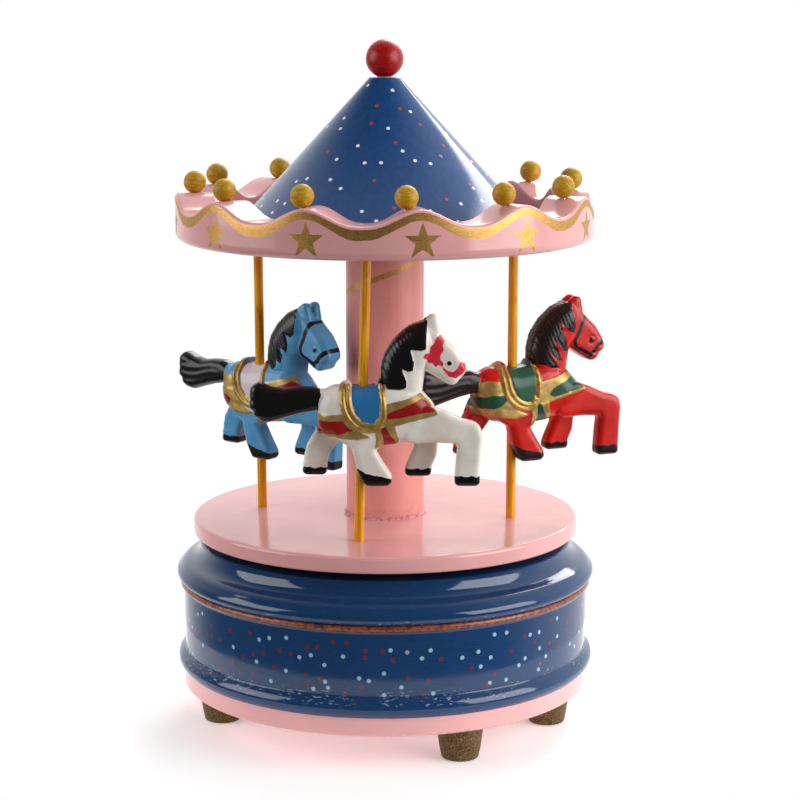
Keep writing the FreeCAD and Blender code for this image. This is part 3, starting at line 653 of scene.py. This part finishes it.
TORSO = [
    (-10.9, 17.0), (-10.8, 20.0), (-9.4, 23.2), (-7.0, 24.4), (-3.5, 24.5), (0, 24.1), (4.0, 24.6),
    (8, 25.4),
    (12.0, 25.2), (15.2, 22.6), (17.8, 19.6), (18.4, 16.5), (17.0, 12.5), (13, 10.8), (9, 10.4),
    (4, 9.8),
    (-2, 10.2), (-6.5, 11.0), (-9.3, 12.6), (-10.6, 14.6)]
NECK = [
    (5.6, 24.0), (5.3, 26.8), (5.4, 29.4), (6.3, 32.8), (8.7, 36.3), (12.0, 39.2), (14.9, 40.3),
    (17.6, 39.6),
    (18.6, 36.0), (17.2, 31.6), (15.4, 28.6), (14.9, 25.0), (14.6, 22.4), (14.0, 19.6), (7, 19.6)]
HEAD = [
    (14.6, 40.4), (17.2, 40.2), (19.2, 38.0), (20.2, 36.9), (23.2, 34.1), (25.1, 31.0), (25.8, 29.2),
    (25.3, 27.7), (24.2, 27.0), (23.6, 25.9), (22.5, 25.3), (20.4, 26.4), (18.4, 27.7), (16.2, 29.2),
    (14.4, 32.5), (13.4, 36.5)]
EAR = [(15.6, 39.6), (16.3, 41.4), (17.7, 42.4), (18.5, 42.0), (18.8, 40.0), (19.3, 38.0), (17.4, 37.6)]
TAIL = [
    (-8.0, 23.4), (-10.4, 23.2), (-12.4, 24.0), (-16.0, 24.0), (-20.3, 23.4), (-23.0, 23.8),
    (-24.8, 24.8),
    (-26.3, 25.2), (-27.6, 24.2), (-28.0, 22.4), (-27.7, 21.4), (-28.1, 20.3), (-27.8, 18.9),
    (-27.0, 18.3),
    (-26.8, 17.1), (-25.4, 16.1), (-23.2, 15.8), (-20.3, 16.7), (-16.0, 17.9), (-11.8, 18.8),
    (-8.0, 18.8)]
NEAR_FRONT = [
    (11, 12.0), (11, 19.0), (17.0, 19.4), (20.4, 18.4), (24.7, 16.3), (27.8, 15.6), (29.3, 14.6),
    (29.8, 12.4),
    (29.5, 8.9), (29.2, 2.0), (29.3, 0.0), (23.6, 0.0), (24.0, 5.8), (24.4, 9.6), (23.7, 10.9),
    (18.6, 11.2), (13, 10.9)]
NEAR_REAR = [
    (-7.5, 15), (5.5, 15), (4.2, 10.0), (2.9, 8.9), (5.0, 5.2), (6.9, 2.3), (7.3, 0.9), (6.4, 0.0),
    (1.2, 0.0), (0.2, 1.6), (-0.9, 3.9), (-2.2, 9.5), (-5.5, 11.5)]
FAR_REAR = [
    (-2.5, 15.0), (-6.2, 10.4), (-8.6, 7.4), (-9.3, 4.6), (-9.4, 1.7), (-14.9, 1.8), (-14.6, 4.4),
    (-13.9, 8.4), (-11.6, 12.4), (-10.0, 16.0)]
FAR_FRONT = [
    (11, 16), (17.5, 16), (18.8, 11.0), (18.4, 6.4), (17.0, 3.4), (17.2, 1.4), (11.0, 1.4),
    (11.4, 3.6), (13.6, 8.4), (13.4, 11.0)]

# (outline, half width, corner radius, how far the rounding reaches in, and across, place in y)
BUILD = [
    (TORSO, 5.2, 1.6, 4.6, 4.6, 0.0), (NECK, 4.1, 1.6, 3.6, 3.1, 0.0), (HEAD, 3.2, 0.7, 1.3, 1.5, 0.0),
    (EAR, 1.15, 0.5, 0.6, 0.7, -1.75), (EAR, 1.15, 0.5, 0.6, 0.7, 1.75),
    (TAIL, 2.6, 0.7, 1.6, 2.0, 0.0),
    (NEAR_FRONT, 2.1, 0.8, 0.9, 0.9, -2.9), (NEAR_REAR, 2.2, 0.8, 1.0, 1.0, -2.9),
    (FAR_REAR, 2.2, 0.8, 1.0, 1.0, 2.9), (FAR_FRONT, 2.1, 0.8, 0.9, 0.9, 2.9)]

PAD = [
    (-2.6, 27), (-2.5, 21.5), (-1.6, 18.4), (0.2, 16.3), (2.4, 15.7), (4.0, 16.4), (4.5, 18.6),
    (4.5, 22.0), (4.4, 27)]
OUTER_ROPE = [
    (-4.9, 25.0), (-4.75, 20.4), (-3.6, 17.2), (-1.4, 14.9), (1.4, 13.9), (3.9, 14.4), (5.3, 16.4),
    (5.5, 19.8), (5.1, 23.4), (4.7, 25.8)]
INNER_ROPE = [
    (-3.5, 25.0), (-3.35, 21.0), (-2.3, 18.0), (-0.4, 15.9), (1.8, 15.0), (3.4, 15.2), (4.2, 16.6)]
CHEST_GOLD = [
    (6.0, 20.8), (10.5, 21.8), (14.7, 23.2), (16.4, 21.6), (19.2, 18.2), (16.5, 17.2), (12.0, 16.2),
    (8.0, 15.0), (5.4, 14.2)]
CHEST_BAND = [
    (6.2, 18.4), (10.5, 20.0), (14.9, 21.9), (16.4, 21.1), (18.4, 18.9), (14.0, 18.2), (10.0, 17.3),
    (6.4, 16.9)]
REAR_GOLD = [
    (-11.5, 18.0), (-8.0, 17.9), (-4.6, 18.2), (-3.2, 15.6), (0.0, 13.3), (2.5, 12.2), (-1.0, 11.6),
    (-6.0, 12.0), (-11.5, 12.3)]
REAR_BAND = [
    (-11.5, 16.3), (-8.0, 16.3), (-4.7, 16.5), (-3.6, 14.9), (-2.2, 13.9), (-6.0, 12.9), (-11.5, 12.8)]
GIRTH_GOLD = [
    (3.2, 14.0), (8.2, 15.4), (8.8, 13.0), (9.4, 11.4), (8.6, 10.0), (5.8, 9.4), (3.2, 9.6),
    (3.6, 11.6)]
GIRTH_BAND = [(4.8, 14.6), (6.0, 15.0), (7.0, 13.0), (8.5, 10.9), (7.6, 9.3), (5.6, 9.4), (5.4, 11.6)]
HOOVES = [
    [(23.0, -1), (30.4, -1), (30.4, 2.4), (28.8, 2.0), (27.6, 2.5), (26.2, 2.1), (24.8, 2.4),
    (22.8, 2.2)],
    [(-2, -1), (8.2, -1), (8.2, 1.4), (6.2, 1.9), (4.4, 2.3), (2.4, 2.7), (0.8, 3.1), (-0.9, 4.2),
    (-2, 4.2)],
    [(10, 0.4), (18, 0.4), (18, 3.0), (16.5, 3.2), (15.2, 2.8), (14.0, 3.2), (12.4, 2.9), (10, 3.2)],
    [(-16, 0.4), (-8.6, 0.4), (-8.6, 3.3), (-10.4, 3.6), (-12, 3.2), (-13.4, 3.6), (-16, 3.4)]]
TAIL_PAINT = [
    (-30, 13), (-30, 27), (-13.0, 27), (-10.7, 24.6), (-10.3, 22.6), (-10.9, 20.6), (-10.9, 18.6),
    (-14, 15)]
EYE = (21.9, 30.8)
NOSTRIL = (24.6, 29.2)
MOUTH = [(25.6, 27.9), (23.2, 27.2), (22.2, 27.3)]
SADDLE_BUMPS = [(4.6, 25.0), (-3.8, 24.7)]
BROWBAND = [(20.0, 37.4), (18.6, 34.6), (17.6, 32.2)]
CHEEK_STRAP = [(17.6, 32.2), (16.8, 30.6), (17.2, 29.0)]
JAW_STRAP = [(17.2, 29.0), (19.0, 28.2), (21.0, 27.2)]
NOSEBAND = [(21.0, 26.0), (22.4, 27.6), (24.0, 29.6), (25.8, 30.6)]


def points_of(mesh, name="co"):
    store = np.empty(len(mesh.vertices) * 3)
    mesh.vertices.foreach_get(name, store)
    return store.reshape(-1, 3)


def to_segments(x, z, path):
    """For each point, its distance from a path of straight runs, and how far along it is."""
    best, along, start = np.full(len(x), 1e9), np.zeros(len(x)), 0.0
    for (ax, az), (bx, bz) in zip(path, path[1:]):
        dx, dz = bx - ax, bz - az
        length = math.hypot(dx, dz)
        share = np.clip(((x - ax) * dx + (z - az) * dz) / length ** 2, 0, 1)
        distance = np.hypot(x - ax - share * dx, z - az - share * dz)
        nearer = distance < best
        best = np.where(nearer, distance, best)
        along = np.where(nearer, start + share * length, along)
        start += length
    return best, along


def inside(x, z, outline):
    """How far each point is inside a closed outline; negative outside."""
    distance, _ = to_segments(x, z, outline + outline[:1])
    within = np.zeros(len(x), bool)
    for (ax, az), (bx, bz) in zip(outline, outline[1:] + outline[:1]):
        crosses = (az > z) != (bz > z)
        if az != bz:
            within ^= crosses & (x < ax + (z - az) * (bx - ax) / (bz - az))
    return np.where(within, distance, -distance)


def modified(mesh, *modifiers):
    """A copy of a mesh with modifiers applied. Each is (type, settings)."""
    holder = bpy.data.objects.new("holder", mesh)
    bpy.context.scene.collection.objects.link(holder)
    for kind, settings in modifiers:
        modifier = holder.modifiers.new(kind, kind)
        for key, value in settings.items():
            setattr(modifier, key, value)
    bpy.context.view_layer.update()
    result = bpy.data.meshes.new_from_object(holder.evaluated_get(bpy.context.evaluated_depsgraph_get()))
    bpy.data.objects.remove(holder)
    return result


def slab(outline, half_width, corner, reach, rise, middle_y):
    """A side outline made into a thick cut-out whose edges are rounded on both sides."""
    bm = bmesh.new()
    bm.faces.new([bm.verts.new((x, -half_width, z)) for x, z in outline])
    bmesh.ops.bevel(bm, geom=bm.verts[:], offset=corner, segments=3, profile=0.5,
                    affect="VERTICES", clamp_overlap=True, material=-1)
    made = bmesh.ops.extrude_face_region(bm, geom=bm.faces[:])
    top = [item for item in made["geom"] if isinstance(item, bmesh.types.BMVert)]
    bmesh.ops.translate(bm, vec=(0, 2 * half_width, 0), verts=top)
    bmesh.ops.recalc_face_normals(bm, faces=bm.faces)
    mesh = bpy.data.meshes.new("cut_out")
    bm.to_mesh(mesh)
    bm.free()
    mesh = modified(mesh, ("REMESH", {"mode": "VOXEL", "voxel_size": CUT_OUT_VOXEL, "adaptivity": 0.0}))
    co = points_of(mesh)
    depth = np.clip(inside(co[:, 0], co[:, 2], outline) / reach, 0, 1)
    allowed = half_width - rise + rise * np.sqrt(1 - (1 - depth) ** 2)
    co[:, 1] = np.clip(co[:, 1], -allowed, allowed) + middle_y
    mesh.vertices.foreach_set("co", co.ravel())
    return mesh


def round_path(path):
    """A path with its corners cut again and again, which makes it a smooth curve."""
    for _ in range(CORNER_CUTS):
        cut = [path[0]]
        for (ax, az), (bx, bz) in zip(path, path[1:]):
            cut += [(0.75 * ax + 0.25 * bx, 0.75 * az + 0.25 * bz),
                    (0.25 * ax + 0.75 * bx, 0.25 * az + 0.75 * bz)]
        path = cut + [path[-1]]
    return path


def half_round(distance, radius):
    return np.sqrt(np.clip(1 - (distance / radius) ** 2, 0, 1))


def moulded_horse():
    """The horse's own shape, before its pole hole and paint."""
    joined = bmesh.new()
    for part in BUILD:
        cut_out = slab(*part)
        joined.from_mesh(cut_out)
        bpy.data.meshes.remove(cut_out)
    mesh = bpy.data.meshes.new("horse_blank")
    joined.to_mesh(mesh)
    joined.free()
    mesh = modified(mesh, ("REMESH", {"mode": "VOXEL", "voxel_size": BLANK_VOXEL, "adaptivity": 0.0}),
                    ("SMOOTH", {"factor": 0.5, "iterations": 6}))
    co, normal = points_of(mesh), points_of(mesh, "normal")
    x, y, z = co.T
    side = np.clip((np.abs(y) - 1.2) / 1.0, 0, 1)
    lift = np.full(len(co), SKIN)
    for path, radius in ((OUTER_ROPE, 0.62), (INNER_ROPE, 0.55)):
        distance, along = to_segments(x, z, round_path(path))
        twist = 0.95 + 0.05 * np.sin(along * 5.0 + distance * 3.0 * np.sign(y))
        lift += 0.55 * half_round(distance, radius) * twist
    mane = np.clip(inside(x, z, BLACK_MANE) / 0.4 + 0.5, 0, 1)
    strands = np.sin((x * 0.87 + z * 0.5) * 2.9 + 1.3 * np.sin(x * 0.5 - z * 0.34))
    lift += mane * (0.26 + 0.1 * np.abs(strands))
    tail = np.clip((-12.0 - x) / 2.0, 0, 1)
    lift -= tail * 0.05 * np.sin((z - 0.12 * x + 0.35 * np.sin(x * 0.5)) * 3.0)
    for outline, height in ((CHEST_GOLD, 0.16), (REAR_GOLD, 0.16), (GIRTH_GOLD, 0.14), (PAD, 0.22)):
        lift += height * np.clip(inside(x, z, outline) / 0.3 + 0.5, 0, 1) * side
    for place in SADDLE_BUMPS:
        lift += 0.8 * half_round(np.hypot(x - place[0], z - place[1]), 1.1)
    eye = np.hypot(x - EYE[0], z - EYE[1])
    lift += side * (0.25 * half_round(eye, 0.7) - 0.08 * half_round(eye - 1.0, 0.3))
    nostril = np.hypot((x - NOSTRIL[0]) * 1.2, z - NOSTRIL[1])
    lift -= side * 0.25 * half_round(nostril, 0.5)
    mouth, _ = to_segments(x, z, MOUTH)
    lift -= side * 0.22 * half_round(mouth, 0.35)
    co += normal * lift[:, None] + normal * (OUTLINE_GROWTH, 0.0, OUTLINE_GROWTH)
    mesh.vertices.foreach_set("co", co.ravel())
    return mesh


def bridle(width):
    return [("dark", "stroke", path, width) for path in (BROWBAND, CHEEK_STRAP, JAW_STRAP, NOSEBAND)]


BLACK_MANE = [
    (16.4, 41.6), (16.0, 34.4), (14.9, 34.0), (12.2, 34.3), (13.0, 31.2), (12.8, 29.0), (11.6, 28.8),
    (9.9, 29.6),
    (11.2, 26.4), (11.0, 24.6), (9.6, 24.2), (6.5, 24.2), (5.6, 25.4), (3.4, 25.8), (3.4, 34),
    (8, 40), (14, 42)]
CHEEK = [
    (19.6, 38.0), (20.6, 36.4), (20.1, 35.2), (20.5, 34.0), (19.6, 32.9), (19.6, 31.6), (20.4, 30.8),
    (20.2, 29.8),
    (19.2, 30.4), (18.4, 29.9), (17.6, 30.9), (16.6, 30.8), (16.2, 31.9), (15.2, 32.2), (15.8, 33.2),
    (16.9, 33.4),
    (17.0, 34.8), (17.9, 35.6), (18.4, 37.0)]
NOSE_PAINT = [
    (19.7, 30.4), (21.2, 29.0), (22.8, 28.6), (23.8, 29.4), (24.6, 31.2), (26.4, 30.2), (25.6, 28.4),
    (23.6, 26.9), (21.7, 27.4), (20.5, 28.8)]
GREEN_CHEST = [
    (8.4, 17.4), (9.6, 19.0), (12.8, 20.4), (15.6, 21.6), (17.5, 20.0), (18.8, 18.4), (14.8, 17.8),
    (11.2, 16.8), (9.4, 16.6)]
GREEN_REAR = [
    (-11.5, 17.4), (-7.5, 18.0), (-4.4, 18.0), (-3.8, 16.6), (-5.4, 15.2), (-7.5, 14.4), (-11.5, 14.6)]
RED_OVAL = [(-11.5, 16.2), (-8.0, 16.4), (-5.8, 15.2), (-6.4, 13.8), (-9, 13.2), (-11.5, 13.2)]
GOLD_RUMP = [
    (-11.5, 21.2), (-8.4, 21.8), (-5.0, 21.4), (-4.0, 17.0), (-1.0, 13.8), (2.5, 12.2), (-1.0, 11.4),
    (-6.0, 12.0), (-11.5, 12.4)]

POINTED_MANE = [
    (14.5, 42.6), (15.6, 40.8), (15.9, 37.5), (17.0, 34.8), (16.6, 32.8), (14.7, 33.6), (11.4, 36.6),
    (13.4, 32.6), (14.9, 28.2), (13.0, 28.6), (9.4, 32.2), (11.6, 28.4), (13.0, 25.6), (11.0, 26.4),
    (7.6, 29.6), (10.4, 26.2), (12.2, 23.8), (9.6, 24.2), (6.9, 25.2), (4.6, 25.0), (3.0, 26.6),
    (3.0, 32), (6, 38), (10.5, 42)]
CURLED_MANE = [
    (14.5, 42.6), (15.9, 40.4), (16.1, 37.4), (15.7, 34.4), (14.4, 33.4), (12.6, 34.4), (13.4, 31.6),
    (12.9, 29.4),
    (11.0, 30.6), (11.6, 28.2), (11.0, 26.2), (9.4, 27.4), (9.6, 25.4), (8.2, 24.4), (6.6, 25.4),
    (5.0, 25.6),
    (3.0, 26.6), (3.0, 32), (6, 38), (10.5, 42)]
COMMON = [("dark", "patch", TAIL_PAINT), *(("dark", "patch", hoof) for hoof in HOOVES),
          ("rope", "stroke", OUTER_ROPE, 1.5), ("rope", "stroke", INNER_ROPE, 1.3),
          ("pad", "patch", PAD),
          ("dark", "spot", EYE, 0.62), ("gold", "patch", CHEST_GOLD), ("gold", "patch", GIRTH_GOLD)]

HORSES = {
    "horse_white": dict(
        pole=0, yaw=0.0, shell=srgb(238, 234, 224), shade=srgb(222, 212, 198), dark=srgb(14, 14, 15),
        band=srgb(150, 24, 22), pad=srgb(44, 112, 168), face=srgb(222, 48, 66),
        paint=[("dark", "patch", BLACK_MANE), ("gold", "patch", REAR_GOLD),
        ("band", "patch", CHEST_BAND),
               ("band", "patch", REAR_BAND), ("band", "patch", GIRTH_BAND), ("face", "patch", CHEEK),
               ("face", "patch", NOSE_PAINT)]),
    "horse_red": dict(
        pole=1, yaw=23.0, shell=srgb(214, 30, 20), shade=srgb(180, 18, 14), dark=srgb(34, 22, 22),
        band=srgb(28, 74, 52), pad=srgb(34, 86, 64), face=srgb(34, 22, 22),
        paint=[("dark", "patch", POINTED_MANE), ("gold", "patch", GOLD_RUMP),
        ("band", "patch", GREEN_CHEST),
               ("band", "patch", GREEN_REAR),
               ("band", "patch", GIRTH_BAND), *bridle(1.0)]),
    "horse_yellow": dict(
        pole=2, yaw=107.0, shell=srgb(238, 186, 40), shade=srgb(216, 156, 24), dark=srgb(40, 24, 14),
        band=srgb(150, 30, 26), pad=srgb(150, 30, 26), face=srgb(60, 34, 18),
        paint=[("dark", "patch", CURLED_MANE), ("gold", "patch", REAR_GOLD),
        ("band", "patch", GREEN_CHEST),
               ("band", "patch", REAR_BAND),
               ("band", "patch", GIRTH_BAND), *bridle(0.9)]),
    "horse_blue": dict(
        pole=3, yaw=-38.0, shell=srgb(92, 166, 212), shade=srgb(78, 152, 202), dark=srgb(24, 22, 24),
        band=srgb(136, 26, 30), pad=srgb(226, 214, 222), face=srgb(50, 20, 26),
        paint=[("dark", "patch", CURLED_MANE), ("gold", "patch", GOLD_RUMP),
        ("band", "patch", CHEST_BAND),
               ("band", "patch", RED_OVAL),
               ("band", "patch", GIRTH_BAND), *bridle(1.15)]),
}
CHANNELS = ("gold", "band", "pad", "rope", "face", "dark")
METALLIC = ("gold", "rope")


def horse_finish(name, look):
    """Moulded gloss plastic with hand-painted harness; each paint has its own attribute."""
    f = Finish(name + "_painted")
    mottled = f.noise(6.0, 2.0)
    colour = mottled.step(0.3, 0.75).over(look["shell"], look["shade"])
    wobble = (f.noise(1.1, 3.0) - 0.5) * 0.5
    brush = f.noise(1.6, 3.0)
    gilt = brush.step(0.3, 0.7).over(srgb(168, 138, 78), srgb(190, 160, 96))
    rope = brush.step(0.3, 0.7).over(srgb(160, 126, 60), srgb(200, 166, 92))
    paints = {**look, "gold": gilt, "rope": rope}
    metallic = 0.0
    for channel in CHANNELS:
        uneven = wobble * (0.3 if channel == "rope" else 1.0)
        mask = (f.attribute(channel) + uneven).step(-0.08, 0.08)
        colour = mask.over(colour, paints[channel])
        if channel in METALLIC:
            metallic = mask * 0.55 + metallic
        else:
            metallic = (1 - mask) * metallic
    f.bump(brush * 0.5 + mottled * 0.5, 0.05, 0.5)
    roughness = metallic * 0.3 + brush * 0.1 + 0.2
    return f.finish(colour, roughness, metallic)


def horses():
    blank = moulded_horse()
    for name, look in HORSES.items():
        number = look["pole"]
        foot, head = pole_line(number)
        hoof_z = span(name)[0].z
        saddle = foot.lerp(head, (hoof_z + SADDLE_Z - foot.z) / (head.z - foot.z))
        place = Matrix.Translation((saddle.x, saddle.y, hoof_z + HOOF_LIFT))
        place @= Matrix.Rotation(math.radians(look["yaw"]), 4, "Z")
        drill = pole_rod(number, POLE_R + BORE_GAP, 32)
        bmesh.ops.transform(drill, matrix=place.inverted(), verts=drill.verts)
        cutter_mesh = bpy.data.meshes.new("drill")
        drill.to_mesh(cutter_mesh)
        drill.free()
        cutter = bpy.data.objects.new("drill", cutter_mesh)
        bpy.context.scene.collection.objects.link(cutter)
        bored = {"object": cutter, "operation": "DIFFERENCE", "solver": "EXACT"}
        mesh = modified(blank.copy(), ("BOOLEAN", bored))
        bpy.data.objects.remove(cutter)
        x, y, z = points_of(mesh).T
        for channel in CHANNELS:
            depth = np.full(len(x), BARE)
            for entry in COMMON + look["paint"]:
                if entry[0] != channel:
                    continue
                if entry[1] == "patch":
                    found = inside(x, z, entry[2])
                elif entry[1] == "stroke":
                    found = entry[3] / 2 - to_segments(x, z, round_path(entry[2]))[0]
                else:
                    found = entry[3] - np.hypot(x - entry[2][0], z - entry[2][1])
                depth = np.maximum(depth, found)
            mesh.attributes.new(channel, "FLOAT", "POINT").data.foreach_set("value", depth)
        mesh.transform(Matrix.Scale(MM, 4) @ place)
        slot = name.replace("horse_", "") + "_plastic"
        put_mesh(mesh, name + "_figure", horse_finish(name, look), name, slot, name, crease=0)
    bpy.data.meshes.remove(blank)


# ------------------------------------------------------------------ what the frame keeps

def dress_frame(pink):
    """Every node of the frame that still shows gets its finish."""
    steel = metal("bright_steel", srgb(186, 187, 190), 0.22, (1, 1, 0.2))
    brass = metal("turned_brass", srgb(212, 172, 92), 0.2, (0.2, 1, 1))
    finishes = {
        "pink_lacquer": pink, "steel": steel, "brass": brass,
        "cast_zinc": metal("cast_zinc", srgb(134, 135, 138), 0.42, size=0.9),
        "gilt_steel": metal("gilt_key", srgb(216, 178, 96), 0.18, (1, 1, 0.3)),
        "nylon": metal("nylon_washer", srgb(228, 226, 216), 0.4, metallic=0.0),
        "dowel_wood": stained_bead("birch_dowel", srgb(214, 186, 140), srgb(180, 146, 100), 0.5),
    }
    for row in frame["record"]["subparts"]:
        node = frame["nodes"][row["node"]]
        finish = finishes.get(row["material_slot"])
        if finish and not node.hide_render:
            node.data.materials.clear()
            node.data.materials.append(finish)


# ------------------------------------------------------------------ floor, light and camera

CAMERA_LENS = 104.42
CAMERA_DOWN = 10.228
CAMERA_PLACE = (0.0040, -0.6088, 0.19534)

def studio():
    bm = bmesh.new()
    bmesh.ops.create_circle(bm, cap_ends=True, segments=96, radius=FLOOR_R)
    mesh = bpy.data.meshes.new("studio_floor")
    bm.to_mesh(mesh)
    bm.free()
    floor = bpy.data.objects.new("studio_floor", mesh)
    bpy.context.scene.collection.objects.link(floor)
    f = Finish("pale_floor")
    pale = f.noise(300.0, 1.0).over((0.9, 0.9, 0.9, 1), (0.93, 0.93, 0.93, 1))
    mesh.materials.append(f.finish(pale, 0.8))
    f.shader.inputs["Emission Color"].default_value = (1.0, 1.0, 1.0, 1.0)
    f.shader.inputs["Emission Strength"].default_value = 0.3
    world = bpy.data.worlds.new("studio_world")
    world.use_nodes = True
    tree = world.node_tree
    backdrop = tree.nodes["Background"]
    start = Wire(tree, None)
    way = start.node("TexCoord", output="Generated")
    lit_from = {0: way, 1: (0.35, 0.92, 0.15)}
    toward_light = start.node("VectorMath", {"operation": "DOT_PRODUCT"}, lit_from, 1)
    strength = toward_light.step(-0.2, 0.75) * 0.95 + 0.1
    seen = start.node("LightPath", output="Is Camera Ray")
    tree.links.new((seen + (1 - seen) * strength).socket, backdrop.inputs["Strength"])
    backdrop.inputs["Color"].default_value = (1.0, 1.0, 1.0, 1.0)
    bpy.context.scene.world = world
    target = Vector((0, 0, 0.09))
    for name, place, size, power in (
            ("softbox_right", (1.0, -0.45, 0.4), 0.9, 13.5),
            ("softbox_left", (-1.0, -0.2, 0.4), 0.8, 7.0),
            ("softbox_back", (0.3, 0.9, 0.8), 0.7, 8.0)):
        light = bpy.data.lights.new(name, "AREA")
        light.shape, light.size, light.energy = "SQUARE", size, power
        lamp = bpy.data.objects.new(name, light)
        lamp.location = place
        lamp.rotation_euler = (target - Vector(place)).to_track_quat("-Z", "Y").to_euler()
        bpy.context.scene.collection.objects.link(lamp)


def set_camera():
    """A long lens a little above the canopy's height, looking slightly down."""
    camera = bpy.data.objects.new("camera", bpy.data.cameras.new("camera"))
    camera.data.lens = CAMERA_LENS
    camera.data.sensor_width = 36.0
    camera.data.clip_start = 0.01
    tilt = Matrix.Rotation(math.radians(90 - CAMERA_DOWN), 4, "X")
    camera.matrix_world = Matrix.Translation(CAMERA_PLACE) @ tilt
    bpy.context.scene.collection.objects.link(camera)
    bpy.context.scene.camera = camera
    bpy.context.scene.view_settings.view_transform = "Standard"


pink = plain_pink()
turned_base()
turned_disc(pink)
turned_column()
turned_canopy()
turned_roof()
turned_beads(stained_bead("mustard_bead", MUSTARD, DARK_MUSTARD, 0.3),
             stained_bead("red_bead", BEAD_RED, DARK_RED, 0.22))
poles(amber_rods())
turned_feet(bronze_feet())
horses()
dress_frame(pink)
studio()
set_camera()
